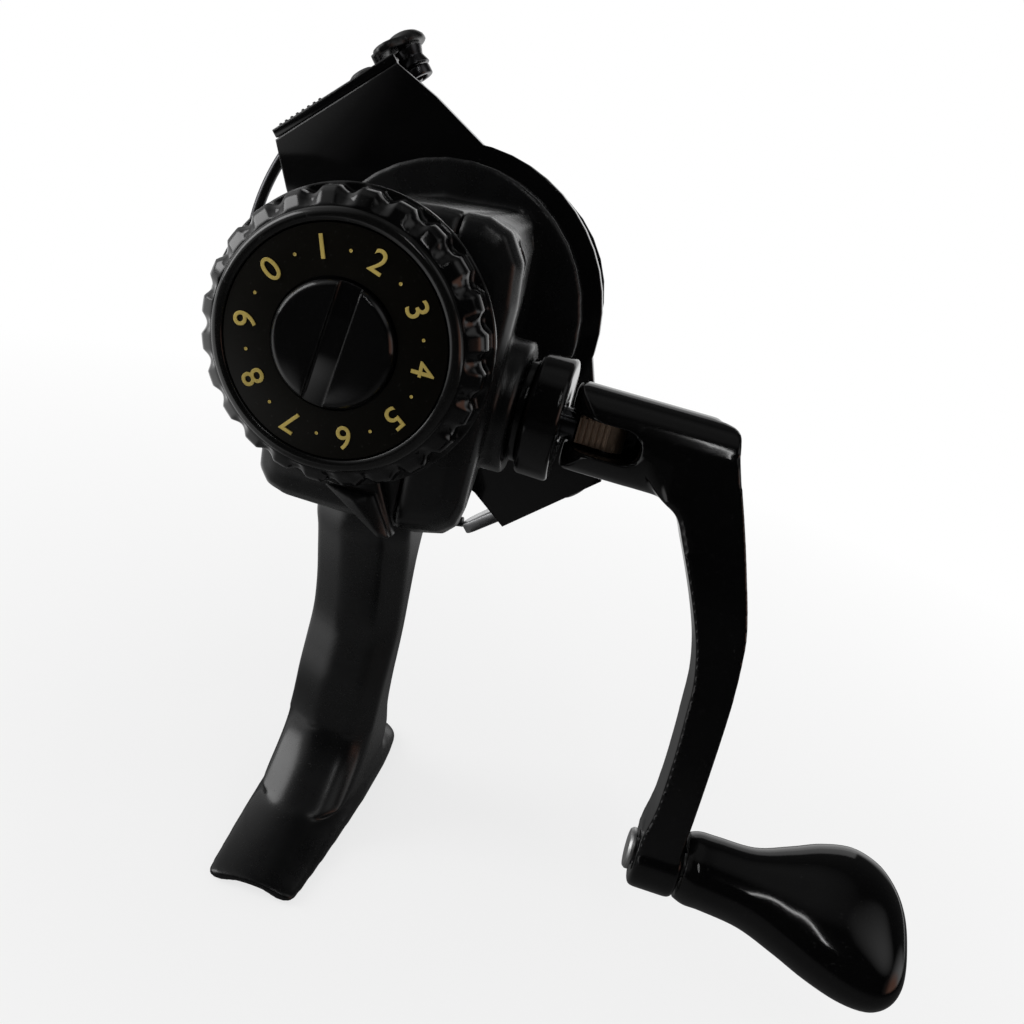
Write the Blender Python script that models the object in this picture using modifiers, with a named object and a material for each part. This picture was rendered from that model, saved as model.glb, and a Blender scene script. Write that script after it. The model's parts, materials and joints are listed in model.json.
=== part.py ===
"""Open-faced spinning reel with a rear drag knob and a folding crank, modelled in metres.

Part frame: +Y runs forward along the main shaft, from the drag knob to the spool, +X is the crank's side,
+Z is up, and the foot points down. The origin is the middle of the foot's sole.
Every piece hangs on an empty at the main shaft's axis, level with the drag knob's rear face, so depths along
the shaft are counted from that face.
"""
import math

import bmesh
import bpy
from mathutils import Matrix, Vector

# General
GAP = 0.0003                    # clearance between pieces that touch
OVERRUN = 0.001                 # how far a cutter runs past what it cuts
SINK = 0.0005                   # how far joined shapes reach into each other
MERGE = 0.000002                # distance at which doubled points are merged

# Main axis
AXIS_HEIGHT = 0.0835            # main shaft above the foot's sole
KNOB_BEHIND = 0.0360            # knob's rear face behind the middle of the sole

# Main shaft
SHAFT_RADIUS = 0.0014
SHAFT_REAR = 0.0060
SHAFT_BORE = SHAFT_RADIUS + GAP
STROKE = 0.0040                 # the shaft's travel each way

# Drag knob
KNOB_DEPTH = 0.0064
KNOB_GRIP_RADIUS = 0.0159
KNOB_FLUTES = 24
FLUTE_DEPTH = 0.0009
KNOB_FLANGE_RADIUS = 0.0175
KNOB_FLANGE_DEPTH = 0.0014
BEZEL_RADIUS = 0.0147
BEZEL_WIDTH = 0.0013
BEZEL_DEPTH = 0.0008
KNOB_RECESS = 0.0009
KNOB_FLOOR = 0.0010
KNOB_GROOVE_INNER = 0.0115
KNOB_GROOVE_OUTER = 0.0138
KNOB_GROOVE_DEPTH = 0.0034
CAP_RADIUS = 0.0072
CAP_PROUD = 0.0009
CAP_BEVEL = 0.0005
CAP_SHANK_RADIUS = 0.0022
CAP_SLOT_WIDTH = 0.0027
CAP_SLOT_DEPTH = 0.0007
CAP_SLOT_ANGLE = math.radians(82)
DIAL_THICKNESS = 0.0003
KEY_RADIUS = 0.0009
KEY_CIRCLE = 0.0052

# Rear drag
DRAG_TUBE_RADIUS = 0.0095
DRAG_TUBE_WALL = 0.0015
DRAG_BORE = DRAG_TUBE_RADIUS - DRAG_TUBE_WALL
NUT_THICKNESS = 0.0010
NUT_BEFORE_FLOOR = 0.0005
DRAG_SPRING_LENGTH = 0.0022
DRAG_SPRING_SHEET = 0.0006
WASHER_THICKNESS = 0.0005
WASHER_RADIUS = DRAG_BORE - GAP
HUB_DISC_RADIUS = 0.0072
HUB_DISC_THICKNESS = 0.0010
HUB_SLEEVE_RADIUS = 0.0022
HUB_SLEEVE_FRONT = 0.0135

# Body
BODY_REAR = 0.0086
REAR_WALL = 0.0015
BODY_FRONT = 0.0475
FRONT_WALL = 0.0035
BODY_WALL = 0.0020
BODY_SPAN = 0.0175              # half width and height of the shoulders about the main axis
BODY_DROP = 0.0270              # lowest point of the underside below the main axis
BODY_ROUNDING = 0.0024
PARTING_SHARE = 0.514            # where the two shells meet, in the body's span
PARTING_X = BODY_SPAN * PARTING_SHARE
FLANGE_RADIUS = 0.0224
FLANGE_THICKNESS = 0.0048
REAR_DROP = 0.0221              # drop of the underside at the rear face
CHIN_FRONT = 0.0208             # depth at which the underside has come down to its lowest
TAPER_REAR = 0.0120             # depth from which the crank's side leans inwards
TAPER_SHARE = 0.726             # what is left of the shoulders' half width at the front
POST_LENGTH = 0.0040
POST_BORE_DEPTH = 0.0030
LUG_SINK = 0.00175              # screw lugs end this far under the crank's side
# The housing's outline about the main axis, as shares of its half width
BODY_OUTLINE_SHARES = [
    (-0.71, 0.30), (-0.66, 0.62), (-0.46, 0.84), (-0.15, 0.93), (0.08, 0.94), (0.35, 0.97), (0.68, 0.98),
    (0.85, 0.92), (0.97, 0.74), (1.00, 0.45), (0.99, -0.30), (0.97, -1.20), (0.93, -1.37), (0.82, -1.47),
    (0.55, -1.53), (-0.02, -1.54), (-0.36, -1.54), (-0.50, -1.49), (-0.58, -1.36), (-0.59, -1.15),
    (-0.65, -0.85), (-0.70, -0.30)]
# A rounded edge: how far behind it and how far in, as shares of the rounding
ROUNDED_EDGE_SHARES = [(0.0, 1.0), (0.29, 0.29), (1.0, 0.0)]

# Stem and foot
STEM_WIDTH = 0.0150
STEM_SINK = 0.0032              # how far the stem's top reaches up into the body
STEM_CHAMFER = 0.0036
STEM_CORNER_SHARE = 0.3
FOOT_THICKNESS = 0.0080
FOOT_HALF_WIDTH = 0.0084
SADDLE_DEPTH = 0.0008
SADDLE_RADIUS = 0.0110
LAND_LENGTH = 0.0120
# Sections of the stem: drop from its top to the sole, then rear edge and front edge as shares of the body's
# front
STEM_SHARES = [
    (0.000, 0.524, 0.940), (0.108, 0.533, 0.897), (0.175, 0.580, 0.879), (0.245, 0.621, 0.879),
    (0.350, 0.679, 0.902), (0.452, 0.712, 0.928), (0.538, 0.696, 0.937), (0.620, 0.677, 0.940),
    (0.715, 0.693, 0.963), (0.790, 0.724, 1.002), (0.838, 0.752, 1.037), (0.930, 0.768, 1.055)]
# Sections of the foot: depth behind the knob's face as a share of the body's front, then half width and
# thickness as shares of theirs
FOOT_SHARES = [
    (0.190, 0.82, 0.14), (0.264, 0.84, 0.17), (0.334, 0.87, 0.26), (0.404, 0.90, 0.38), (0.524, 0.94, 0.60),
    (0.664, 0.98, 0.79), (0.756, 1.00, 0.98), (0.861, 1.00, 1.00), (1.020, 1.00, 0.90), (1.125, 0.96, 0.60),
    (1.213, 0.88, 0.38), (1.269, 0.66, 0.24), (1.289, 0.40, 0.17)]
# The foot's ridge from one side of the sole over the top to the other, as shares of half width and thickness
FOOT_RIDGE_SHARES = [
    (-1.0, 0.0), (-1.0, 0.34), (-0.86, 0.60), (-0.5, 0.86), (-0.14, 0.99), (0.14, 0.99), (0.5, 0.86),
    (0.86, 0.60), (1.0, 0.34), (1.0, 0.0)]

# Crank axis, gears and bearings
CRANK_DEPTH = 0.0248
CRANK_DROP = 0.0067             # the crank's axis lies this far under the main shaft
GEAR_TEETH = 32
PINION_TEETH = 8
MESH_DEPTH = 0.01149            # pinion mesh ahead of the crank's axis
GEAR_RING_OUTER = 0.0144
GEAR_RING_INNER = 0.0122
GEAR_TOOTH_TIP = 0.0025
GEAR_TOOTH_ROOT = 0.0041
GEAR_TOOTH_WIDTH = 0.0008
GEAR_WEB_INNER = 0.0050
GEAR_OUTER = 0.0062
GEAR_SHAFT_RADIUS = 0.0030
CRANK_PIN_CIRCLE = STROKE
CRANK_PIN_RADIUS = 0.0014
PINION_PITCH_RADIUS = MESH_DEPTH * PINION_TEETH / GEAR_TEETH
PINION_ROOT_RADIUS = 0.0022
PINION_TIP_RADIUS = 0.0035
# Half widths at root, pitch line and tip, of a gear tooth's width
PINION_TOOTH_SHARES = (0.75, 0.46, 0.22)
PINION_BORE = 0.0017
PINION_REAR = 0.0335
PINION_TEETH_FRONT = 0.0390
JOURNAL_RADIUS = 0.0033
BEARING_RADIUS = 0.0052
BEARING_LENGTH = 0.0030
RETAINER_RADIUS = 0.0086
RETAINER_THICKNESS = 0.0007
BOSS_RADIUS = 0.0075
BOSS_INNER = 0.0095
COLLAR_RADIUS = 0.00915
COLLAR_START = 0.0152
COLLAR_END = 0.0191
BUSH_RADIUS = 0.0052
BUSH_LENGTH = 0.0026

# Slider
SLIDER_PLATE_INNER = 0.0022
SLIDER_PLATE_OUTER = 0.0038
SLIDER_HALF_LENGTH = 0.0032
SLIDER_BLOCK_RADIUS = 0.0031
SLIDER_SLOT_WALL = 0.0015
SLIDER_EAR_SHARE = 0.6
GUIDE_RADIUS = 0.0009
GUIDE_X = -0.0065
GUIDE_Z = 0.0030

# Anti-reverse
RATCHET_TEETH = 16
RATCHET_RADIUS = 0.0065
RATCHET_ROOT = 0.0049
RATCHET_START_SHARE = 0.22                      # where the first tooth starts, in tooth pitches
RATCHET_ROOT_SHARES = (0.0, 0.45)               # where the root starts and ends, in tooth pitches
RATCHET_TIP_SHARES = (0.80, 0.92)
RATCHET_INNER = 0.0068
RATCHET_OUTER = 0.0082
PAWL_DEPTH = 0.0136
PAWL_REACH = 0.0123             # from the crank's axis down to the pawl's pivot
PAWL_DROP = CRANK_DROP + PAWL_REACH
PAWL_BODY_RADIUS = 0.0020
PAWL_TIP_ANGLE = math.radians(-110)
PAWL_POST_RADIUS = 0.0017
PAWL_SCREW_RADIUS = 0.0009
PAWL_SCREW_REACH = 0.0020
LEVER_X = -0.0010
LEVER_DROP = 0.0145
LEVER_SHAFT_RADIUS = 0.0013
LEVER_THICKNESS = 0.0014
LEVER_HUB_RADIUS = 0.0030
LEVER_REACH = 0.0130
LEVER_FINGER = 0.0065
# The lever's blade and the raised thumb piece on it, as shares of the lever's reach
LEVER_BLADE_SHARES = [
    (-0.20, -0.08), (-0.06, -0.28), (0.28, -0.60), (0.62, -0.76), (0.745, -0.70), (0.66, -0.50),
    (0.45, -0.17),
    (0.12, 0.16)]
LEVER_THUMB_SHARES = [
    (0.235, -0.40), (0.40, -0.63), (0.62, -0.76), (0.745, -0.70), (0.66, -0.50), (0.53, -0.31)]

# Rotor
ROTOR_CLEARANCE = 0.0010
ROTOR_REAR = BODY_FRONT + FLANGE_THICKNESS + ROTOR_CLEARANCE
ROTOR_RADIUS = 0.0251
ROTOR_DISC = 0.0021
ROTOR_HUB_RADIUS = 0.0062
ROTOR_HUB_LENGTH = 0.0067
ROTOR_HUB_FRONT = ROTOR_REAR + ROTOR_HUB_LENGTH
CUP_RADIUS = 0.0213
CUP_WALL = 0.0016
CUP_LENGTH = 0.0079
CUP_FRONT = ROTOR_REAR + CUP_LENGTH
ARM_TURN = math.radians(42)
PLATE_THICKNESS = 0.0022
MAIN_ARM_REACH = 0.0355
MAIN_ARM_WALL = 0.0046
FAR_ARM_REACH = 0.0372
FAR_ARM_WALL = 0.0036
ARM_HALF_WIDTH = 0.0116
ARM_SHIFT = -0.0012
FAR_ARM_HALF_WIDTH = 0.0095
ARM_NECK_SHARES = (1.16, 1.30)                  # the plate's neck, right and left, in half widths of the arm
ARM_NECK_HEIGHT_SHARE = 0.80
FLARE_SHARE = 0.98
FLARE_ANGLES = (0.76, 0.80)                     # where the plate meets the disc, right and left, in radians
ARM_WAIST_SHARES = (0.86, 0.42)                 # the arm wall's waist, in half widths and in its length
BAIL_AHEAD = 0.0207             # from the rotor's rear to the bail's pivots
BAIL_DEPTH = ROTOR_REAR + BAIL_AHEAD
PIVOT_BOSS_RADIUS = 0.0050
PIVOT_BOSS_HEIGHT = 0.0018
PIVOT_BORE = 0.0016
ROTOR_NUT_RADIUS = 0.0049
ROTOR_NUT_LENGTH = 0.0026
ARM_COVER_THICKNESS = 0.0014
ARM_COVER_START = 0.0006
ARM_COVER_REAR = ROTOR_REAR + ARM_COVER_START
ARM_COVER_LENGTH = 0.0133
ARM_COVER_FRONT = ARM_COVER_REAR + ARM_COVER_LENGTH
ARM_COVER_WAIST_SHARES = (0.90, 0.55)
ARM_COVER_NOSE_SHARE = 1.2                      # half width of the cover's front edge, in pivot boss radii
RIB_COUNT = 8
RIB_HEIGHT = 0.0009
RIB_WIDTH = 0.0006
RIB_PITCH = 0.0011
RIB_LENGTH_SHARE = 0.5
POCKET_DEPTH = 0.0031
POCKET_RIM = 0.0017
POCKET_HALF_WIDTH = 0.0066

# Bail
BAIL_PLATE_RADIUS = 0.0052
BAIL_PLATE_BASE = MAIN_ARM_REACH + PIVOT_BOSS_HEIGHT + GAP
BAIL_PLATE_THICKNESS = 0.0036
BAIL_PLATE_TOP = BAIL_PLATE_BASE + BAIL_PLATE_THICKNESS
BAIL_WEB_HALF = 0.0032
PIVOT_HEAD_RADIUS = 0.0030
PIVOT_HEAD_HEIGHT = 0.0013
PIVOT_HEAD_SHARES = ((0.7, 0.85), (1.0, 0.4))   # crown and shoulder of the head, in its radius and height
PIVOT_SHANK_RADIUS = 0.0012
ROLLER_SIDE = 0.0080
ROLLER_AHEAD = 0.0040
ROLLER_RADIUS = 0.0030
ROLLER_WAIST = 0.0024
ROLLER_ABOVE = 0.0020            # from the bail plate's base to the roller
ROLLER_BASE = BAIL_PLATE_BASE + ROLLER_ABOVE
ROLLER_LENGTH = 0.0031
DOME_RADIUS = 0.0042
DOME_BASE = ROLLER_BASE + ROLLER_LENGTH + GAP
DOME_RISE = 0.0029
DOME_TOP = DOME_BASE + DOME_RISE
DOME_SHARES = [(0.45, 0.08), (0.80, 0.32), (1.0, 0.70)]     # radius, and drop from the top
SHOULDER_SHARE = 0.8                            # of the web's and the dome's radius
WIRE_RADIUS = 0.0010
WIRE_ABOVE = 0.0080             # from the main arm's face out to the wire's crown
WIRE_REACH = MAIN_ARM_REACH + WIRE_ABOVE
WIRE_SPREAD = 0.0460            # from the main shaft to the side
WIRE_AHEAD = 0.0006
WIRE_TILT = math.radians(2.5)
WIRE_LIFT = 0.0078              # how far the wire starts ahead of where it ends
WIRE_LIFT_ANGLE = math.radians(48)
WIRE_START = math.radians(6)
WIRE_END = math.radians(152.5)
WIRE_POINTS = 22
WIRE_BEND_SHARE = 0.5
WIRE_BOSS_RADIUS = 0.0026
FAR_LEVER_THICKNESS = 0.0022
FAR_LEVER_TIP_RADIUS = 0.0024

# Spool
SKIRT_RADIUS = 0.0234
SKIRT_WALL = 0.0014
SKIRT_AHEAD = 0.0011            # from the rotor's cup to the skirt
SKIRT_REAR = CUP_FRONT + SKIRT_AHEAD
SKIRT_LENGTH = 0.0039
SKIRT_BEVEL_SHARE = 0.90
DRUM_RADIUS = 0.0150
LIP_RADIUS = 0.0229
LIP_THICKNESS = 0.0035
LIP_BEVEL_SHARE = 0.86
SPOOL_LENGTH = 0.0217
SPOOL_FRONT = SKIRT_REAR + SPOOL_LENGTH
SHAFT_BEHIND = 0.0028            # from the shaft's front end to the spool's front face
SHAFT_FRONT = SPOOL_FRONT - SHAFT_BEHIND
SPOOL_HUB_DEPTH = 0.0128
SPOOL_HUB_REAR = SPOOL_FRONT - SPOOL_HUB_DEPTH
SPOOL_HUB_RADIUS = 0.0044
SPOOL_WASHER_RADIUS = 0.0033
BUTTON_RADIUS = 0.0049
BUTTON_LENGTH = 0.0042
BUTTON_TRAVEL = 0.0010
BUTTON_EDGE_SHARE = 0.8

# Lock collar, fold stud and crank
LOCK_START = 0.0207
LOCK_END = 0.0253
LOCK_RADIUS = 0.0085
NECK_RING_RADIUS = 0.0071
STUD_NECK_RADIUS = 0.0021
STUD_HALF_THICKNESS = 0.0019
STUD_EYE_RADIUS = 0.0022
STUD_RIBS = 6
STUD_RIB_PITCH = 0.0008
STUD_RIB_WIDTH = 0.0004
STUD_RIB_HEIGHT = 0.0003
FOLD_X = 0.0318
FOLD_PIN_RADIUS = 0.0010
SLEEVE_START = 0.02606
SLEEVE_RADIUS = 0.0061
SLEEVE_END = 0.0457
SLOT_HALF_HEIGHT = 0.0023
SLOT_END = 0.0362
SLOT_BEHIND = 0.0026            # how far the slot runs past the fold pin, away from its mouth
CRANK_TILT = 0.20               # the arm hangs this far behind the vertical, in radians
CRANK_LENGTH = 0.0542
TIP_RADIUS = 0.00480
TIP_INNER = 0.0514
TIP_OUTER = 0.0578
ARM_END_RADIUS = 0.00455
# The arm's outline: across as a share of the tip's outer face, and along as a share of the crank's length
ARM_SHARES = [
    (0.755, -0.103), (0.825, -0.095), (0.841, -0.040), (0.860, 0.020), (0.893, 0.111), (0.925, 0.205),
    (0.969, 0.347), (0.983, 0.435), (0.991, 0.560), (0.992, 0.740), (0.989, 0.900), (0.979, 0.975),
    (0.893, 0.975), (0.902, 0.850), (0.903, 0.720), (0.898, 0.600), (0.893, 0.520), (0.876, 0.440),
    (0.850, 0.365), (0.816, 0.285), (0.776, 0.200), (0.745, 0.140), (0.699, 0.112), (0.656, 0.060),
    (0.656, -0.060)]

# Grip
GRIP_PIN_RADIUS = 0.0016
GRIP_PIN_HEAD = 0.00285
GRIP_PIN_PROUD = 0.0008
GRIP_PIN_SHARES = (0.88, 0.6)                   # where the head's bevel starts, in its radius and height
GRIP_START = 0.0581
GRIP_LENGTH = 0.0310
GRIP_HALF_WIDTH = 0.0108
GRIP_HALF_THICKNESS = 0.0052
GRIP_ROUNDNESS = 0.85                           # power of the section's curve, one for an ellipse
GRIP_TURN = math.radians(-50)
# Sections of the grip: place along it, middle across it, half width and half thickness, as shares of its
# length
# and of its two half sizes
GRIP_SHARES = [
    (0.000, 0.00, 0.40, 0.84), (0.050, 0.00, 0.45, 0.90), (0.130, 0.00, 0.46, 0.88),
    (0.300, 0.02, 0.50, 0.88),
    (0.460, 0.02, 0.68, 0.94), (0.600, 0.02, 0.86, 1.00), (0.740, 0.04, 0.97, 1.00),
    (0.860, 0.10, 0.93, 0.92),
    (0.940, 0.16, 0.76, 0.74), (0.985, 0.20, 0.52, 0.50), (1.000, 0.22, 0.26, 0.22)]

# Screws
COVER_SCREW_RADIUS = 0.0008
COVER_SCREW_HEAD = 0.0016
COVER_SCREW_HEAD_HEIGHT = 0.0009
SMALL_SCREW_RADIUS = 0.0007
SMALL_SCREW_HEAD = 0.0013
SMALL_SCREW_HEAD_HEIGHT = 0.0007
HEAD_CROWN_SHARE = 0.7
COVER_SCREW_INSET = 0.0044      # from the shoulders in to the two upper screws
LOW_SCREW_INSET = 0.0048        # from the underside up to the lower screw
# Places of the cover screws: depth as a share of the body's front, and side of the main axis
COVER_SCREW_PLACES = [(0.317, 1), (0.877, 1), (0.855, -1)]

# Bail spring
SPRING_WIRE = 0.0003
SPRING_RADIUS = 0.0009
SPRING_CURLS = 7
SPRING_PITCH = 0.0011
CURL_POINTS = 8

LOOKS = {
    "gloss_black": ((0.012, 0.012, 0.013), 0.22, 0.0),
    "satin_black": ((0.016, 0.016, 0.017), 0.40, 0.0),
    "olive_black": ((0.020, 0.018, 0.010), 0.30, 0.0),
    "steel": ((0.55, 0.55, 0.56), 0.28, 1.0),
    "grey": ((0.42, 0.42, 0.43), 0.38, 1.0),
    "brass": ((0.62, 0.42, 0.28), 0.30, 1.0),
    "bronze": ((0.45, 0.30, 0.16), 0.45, 1.0),
    "felt": ((0.30, 0.27, 0.22), 0.95, 0.0),
    "alloy": ((0.60, 0.60, 0.61), 0.35, 1.0),
}

UPRIGHT = (math.pi / 2, 0, 0)                # an outline in X and Z, thick along Y
SIDEWAYS = (math.pi / 2, 0, math.pi / 2)     # an outline in Y and Z, thick along X
FLAT = (0, 0, 0)                             # an outline in X and Y, thick along Z
AXIS_TURNS = {"X": (0, math.pi / 2, 0), "Y": (-math.pi / 2, 0, 0), "Z": (0, 0, 0)}

for old in list(bpy.data.objects):
    bpy.data.objects.remove(old)
parts = bpy.data.collections.new("spinning_reel")
guides = bpy.data.collections.new("cutters")
bpy.context.scene.collection.children.link(parts)
bpy.context.scene.collection.children.link(guides)


def finish(thing, kind):
    """Give the object its own Principled material."""
    colour, roughness, metallic = LOOKS[kind]
    material = bpy.data.materials.new(thing.name + "_finish")
    material.use_nodes = True
    shader = material.node_tree.nodes["Principled BSDF"]
    shader.inputs["Base Color"].default_value = (*colour, 1)
    shader.inputs["Roughness"].default_value = roughness
    shader.inputs["Metallic"].default_value = metallic
    thing.data.materials.append(material)


def add(name, mesh, parent, place=(0, 0, 0), turn=(0, 0, 0), kind=None):
    """Put a mesh in the scene. Without a kind of finish it is a guide for the Boolean modifiers."""
    thing = bpy.data.objects.new(name, mesh)
    thing.parent = parent
    thing.location = place
    thing.rotation_euler = turn
    if kind is None:
        guides.objects.link(thing)
        thing.hide_render = True
        thing.display_type = "WIRE"
    else:
        parts.objects.link(thing)
        finish(thing, kind)
    return thing


def axis(name, parent, place, turn=(0, 0, 0)):
    """An empty that carries a group of pieces, on the group's own axis."""
    empty = bpy.data.objects.new(name, None)
    empty.parent = parent
    empty.location = place
    empty.rotation_euler = turn
    parts.objects.link(empty)
    return empty


def turned(name, profile, parent, place=(0, 0, 0), along="Y", steps=24, kind=None):
    """A turned shape. The profile holds radius and height, and is closed unless it ends on the axis."""
    area = 0
    for first, second in zip(profile, profile[1:] + profile[:1]):
        area += first[0] * second[1] - second[0] * first[1]
    points = profile if area < 0 else profile[::-1]
    mesh = bpy.data.meshes.new(name)
    shape = bmesh.new()
    corners = [shape.verts.new((radius, 0, height)) for radius, height in points]
    for first, second in zip(corners, corners[1:]):
        shape.edges.new((first, second))
    if points[0][0] > 0:
        shape.edges.new((corners[-1], corners[0]))
    shape.to_mesh(mesh)
    shape.free()
    thing = add(name, mesh, parent, place, AXIS_TURNS[along], kind)
    screw = thing.modifiers.new("Turn", "SCREW")
    screw.axis = "Z"
    screw.steps = steps
    screw.render_steps = steps
    screw.use_merge_vertices = True
    screw.merge_threshold = MERGE
    screw.use_smooth_shade = True
    return thing


def rod(name, radius, low, high, parent, place=(0, 0, 0), along="Y", steps=16, kind=None):
    """A plain cylinder along an axis."""
    return turned(name, [(0, high), (radius, high), (radius, low), (0, low)], parent, place, along, steps,
                  kind)


def ring(name, inner, outer, low, high, parent, place=(0, 0, 0), along="Y", steps=24, kind=None):
    """A plain ring along an axis."""
    profile = [(inner, high), (outer, high), (outer, low), (inner, low)]
    return turned(name, profile, parent, place, along, steps, kind)


def box(name, low, high, parent, place=(0, 0, 0), turn=(0, 0, 0), kind=None):
    """A box between two corners."""
    mesh = bpy.data.meshes.new(name)
    shape = bmesh.new()
    size = Vector(high) - Vector(low)
    middle = (Vector(high) + Vector(low)) / 2
    bmesh.ops.create_cube(shape, size=1, matrix=Matrix.Translation(middle) @ Matrix.Diagonal((*size, 1)))
    shape.to_mesh(mesh)
    shape.free()
    return add(name, mesh, parent, place, turn, kind)


def curve_mesh(name, curve):
    """The welded mesh of a curve."""
    drawn = bpy.data.objects.new(name, curve)
    guides.objects.link(drawn)
    bpy.context.view_layer.update()
    ready = drawn.evaluated_get(bpy.context.evaluated_depsgraph_get())
    mesh = bpy.data.meshes.new_from_object(ready)
    mesh.name = name
    bpy.data.objects.remove(drawn)
    bpy.data.curves.remove(curve)
    shape = bmesh.new()
    shape.from_mesh(mesh)
    bmesh.ops.remove_doubles(shape, verts=shape.verts, dist=MERGE)
    bmesh.ops.recalc_face_normals(shape, faces=shape.faces)
    shape.to_mesh(mesh)
    shape.free()
    return mesh


def prism(name, outline, low, high, parent, place=(0, 0, 0), turn=UPRIGHT, kind=None, rounding=0,
          holes=(), steps=2):
    """A flat outline made thick from low to high along its own normal, with rounded rims on request."""
    curve = bpy.data.curves.new(name, "CURVE")
    curve.dimensions = "2D"
    curve.fill_mode = "BOTH"
    curve.extrude = (high - low) / 2 - rounding
    curve.bevel_depth = rounding
    curve.bevel_resolution = steps
    curve.offset = -rounding
    for loop in (outline, *holes):
        line = curve.splines.new("POLY")
        line.points.add(len(loop) - 1)
        for point, (across, up) in zip(line.points, loop):
            point.co = (across, up, 0, 1)
        line.use_cyclic_u = True
    mesh = curve_mesh(name, curve)
    mesh.transform(Matrix.Translation((0, 0, (low + high) / 2)))
    return add(name, mesh, parent, place, turn, kind)


def wire(name, points, radius, parent, kind=None, resolution=2):
    """A round wire through the points."""
    curve = bpy.data.curves.new(name, "CURVE")
    curve.dimensions = "3D"
    curve.bevel_depth = radius
    curve.bevel_resolution = resolution
    curve.use_fill_caps = True
    line = curve.splines.new("POLY")
    line.points.add(len(points) - 1)
    for point, place in zip(line.points, points):
        point.co = (*place, 1)
    return add(name, curve_mesh(name, curve), parent, kind=kind)


def loft(name, sections, parent, place=(0, 0, 0), turn=(0, 0, 0), kind=None):
    """A skin through sections that all hold the same number of points."""
    mesh = bpy.data.meshes.new(name)
    shape = bmesh.new()
    rings = [[shape.verts.new(point) for point in section] for section in sections]
    for lower, upper in zip(rings, rings[1:]):
        for index in range(len(lower)):
            beside = (index + 1) % len(lower)
            shape.faces.new((lower[index], lower[beside], upper[beside], upper[index]))
    shape.faces.new(rings[0])
    shape.faces.new(rings[-1])
    bmesh.ops.triangulate(shape, faces=shape.faces)
    bmesh.ops.recalc_face_normals(shape, faces=shape.faces)
    shape.to_mesh(mesh)
    shape.free()
    return add(name, mesh, parent, place, turn, kind)


def combine(target, operation, others, solver):
    """Join, cut or keep by Boolean modifiers."""
    for other in others:
        step = target.modifiers.new(operation.title(), "BOOLEAN")
        step.operation = operation
        step.solver = solver
        step.object = other
    return target


def join(target, *others, solver="EXACT"):
    return combine(target, "UNION", others, solver)


def cut(target, *others, solver="EXACT"):
    return combine(target, "DIFFERENCE", others, solver)


def keep(target, *others, solver="EXACT"):
    return combine(target, "INTERSECT", others, solver)


def scaled(shares, length):
    """Points of an outline from shares of one length."""
    return [(across * length, up * length) for across, up in shares]


def arc(middle, radius, start, end, count):
    """Points along an arc, angles in radians."""
    points = []
    for index in range(count):
        angle = start + (end - start) * index / (count - 1)
        points.append((middle[0] + radius * math.cos(angle), middle[1] + radius * math.sin(angle)))
    return points


def capsule(first, first_radius, second, second_radius, count=7):
    """The outline round two circles and the straight lines that touch both."""
    way = Vector(second) - Vector(first)
    heading = math.atan2(way.y, way.x)
    lean = math.acos((first_radius - second_radius) / way.length)
    round_first = arc(first, first_radius, heading + lean, heading + 2 * math.pi - lean, count + 2)
    round_second = arc(second, second_radius, heading - lean, heading + lean, count)
    return round_first + round_second


main_axis = axis("main_axis", None, (0, -KNOB_BEHIND, AXIS_HEIGHT))


# Depths along the main shaft that follow from the pieces behind
knob_floor_front = KNOB_RECESS + KNOB_FLOOR
nut_rear = knob_floor_front + NUT_BEFORE_FLOOR
nut_front = nut_rear + NUT_THICKNESS
drag_spring_rear = nut_front + NUT_BEFORE_FLOOR
rear_washer_rear = drag_spring_rear + DRAG_SPRING_LENGTH + GAP
hub_rear = rear_washer_rear + WASHER_THICKNESS + GAP
front_washer_rear = hub_rear + HUB_DISC_THICKNESS + GAP
drag_floor = front_washer_rear + WASHER_THICKNESS + GAP
cavity_rear = BODY_REAR + REAR_WALL
cavity_front = BODY_FRONT - FRONT_WALL
flange_front = BODY_FRONT + FLANGE_THICKNESS
bearing_rear = BODY_FRONT + GAP
retainer_rear = bearing_rear + BEARING_LENGTH + GAP


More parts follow.
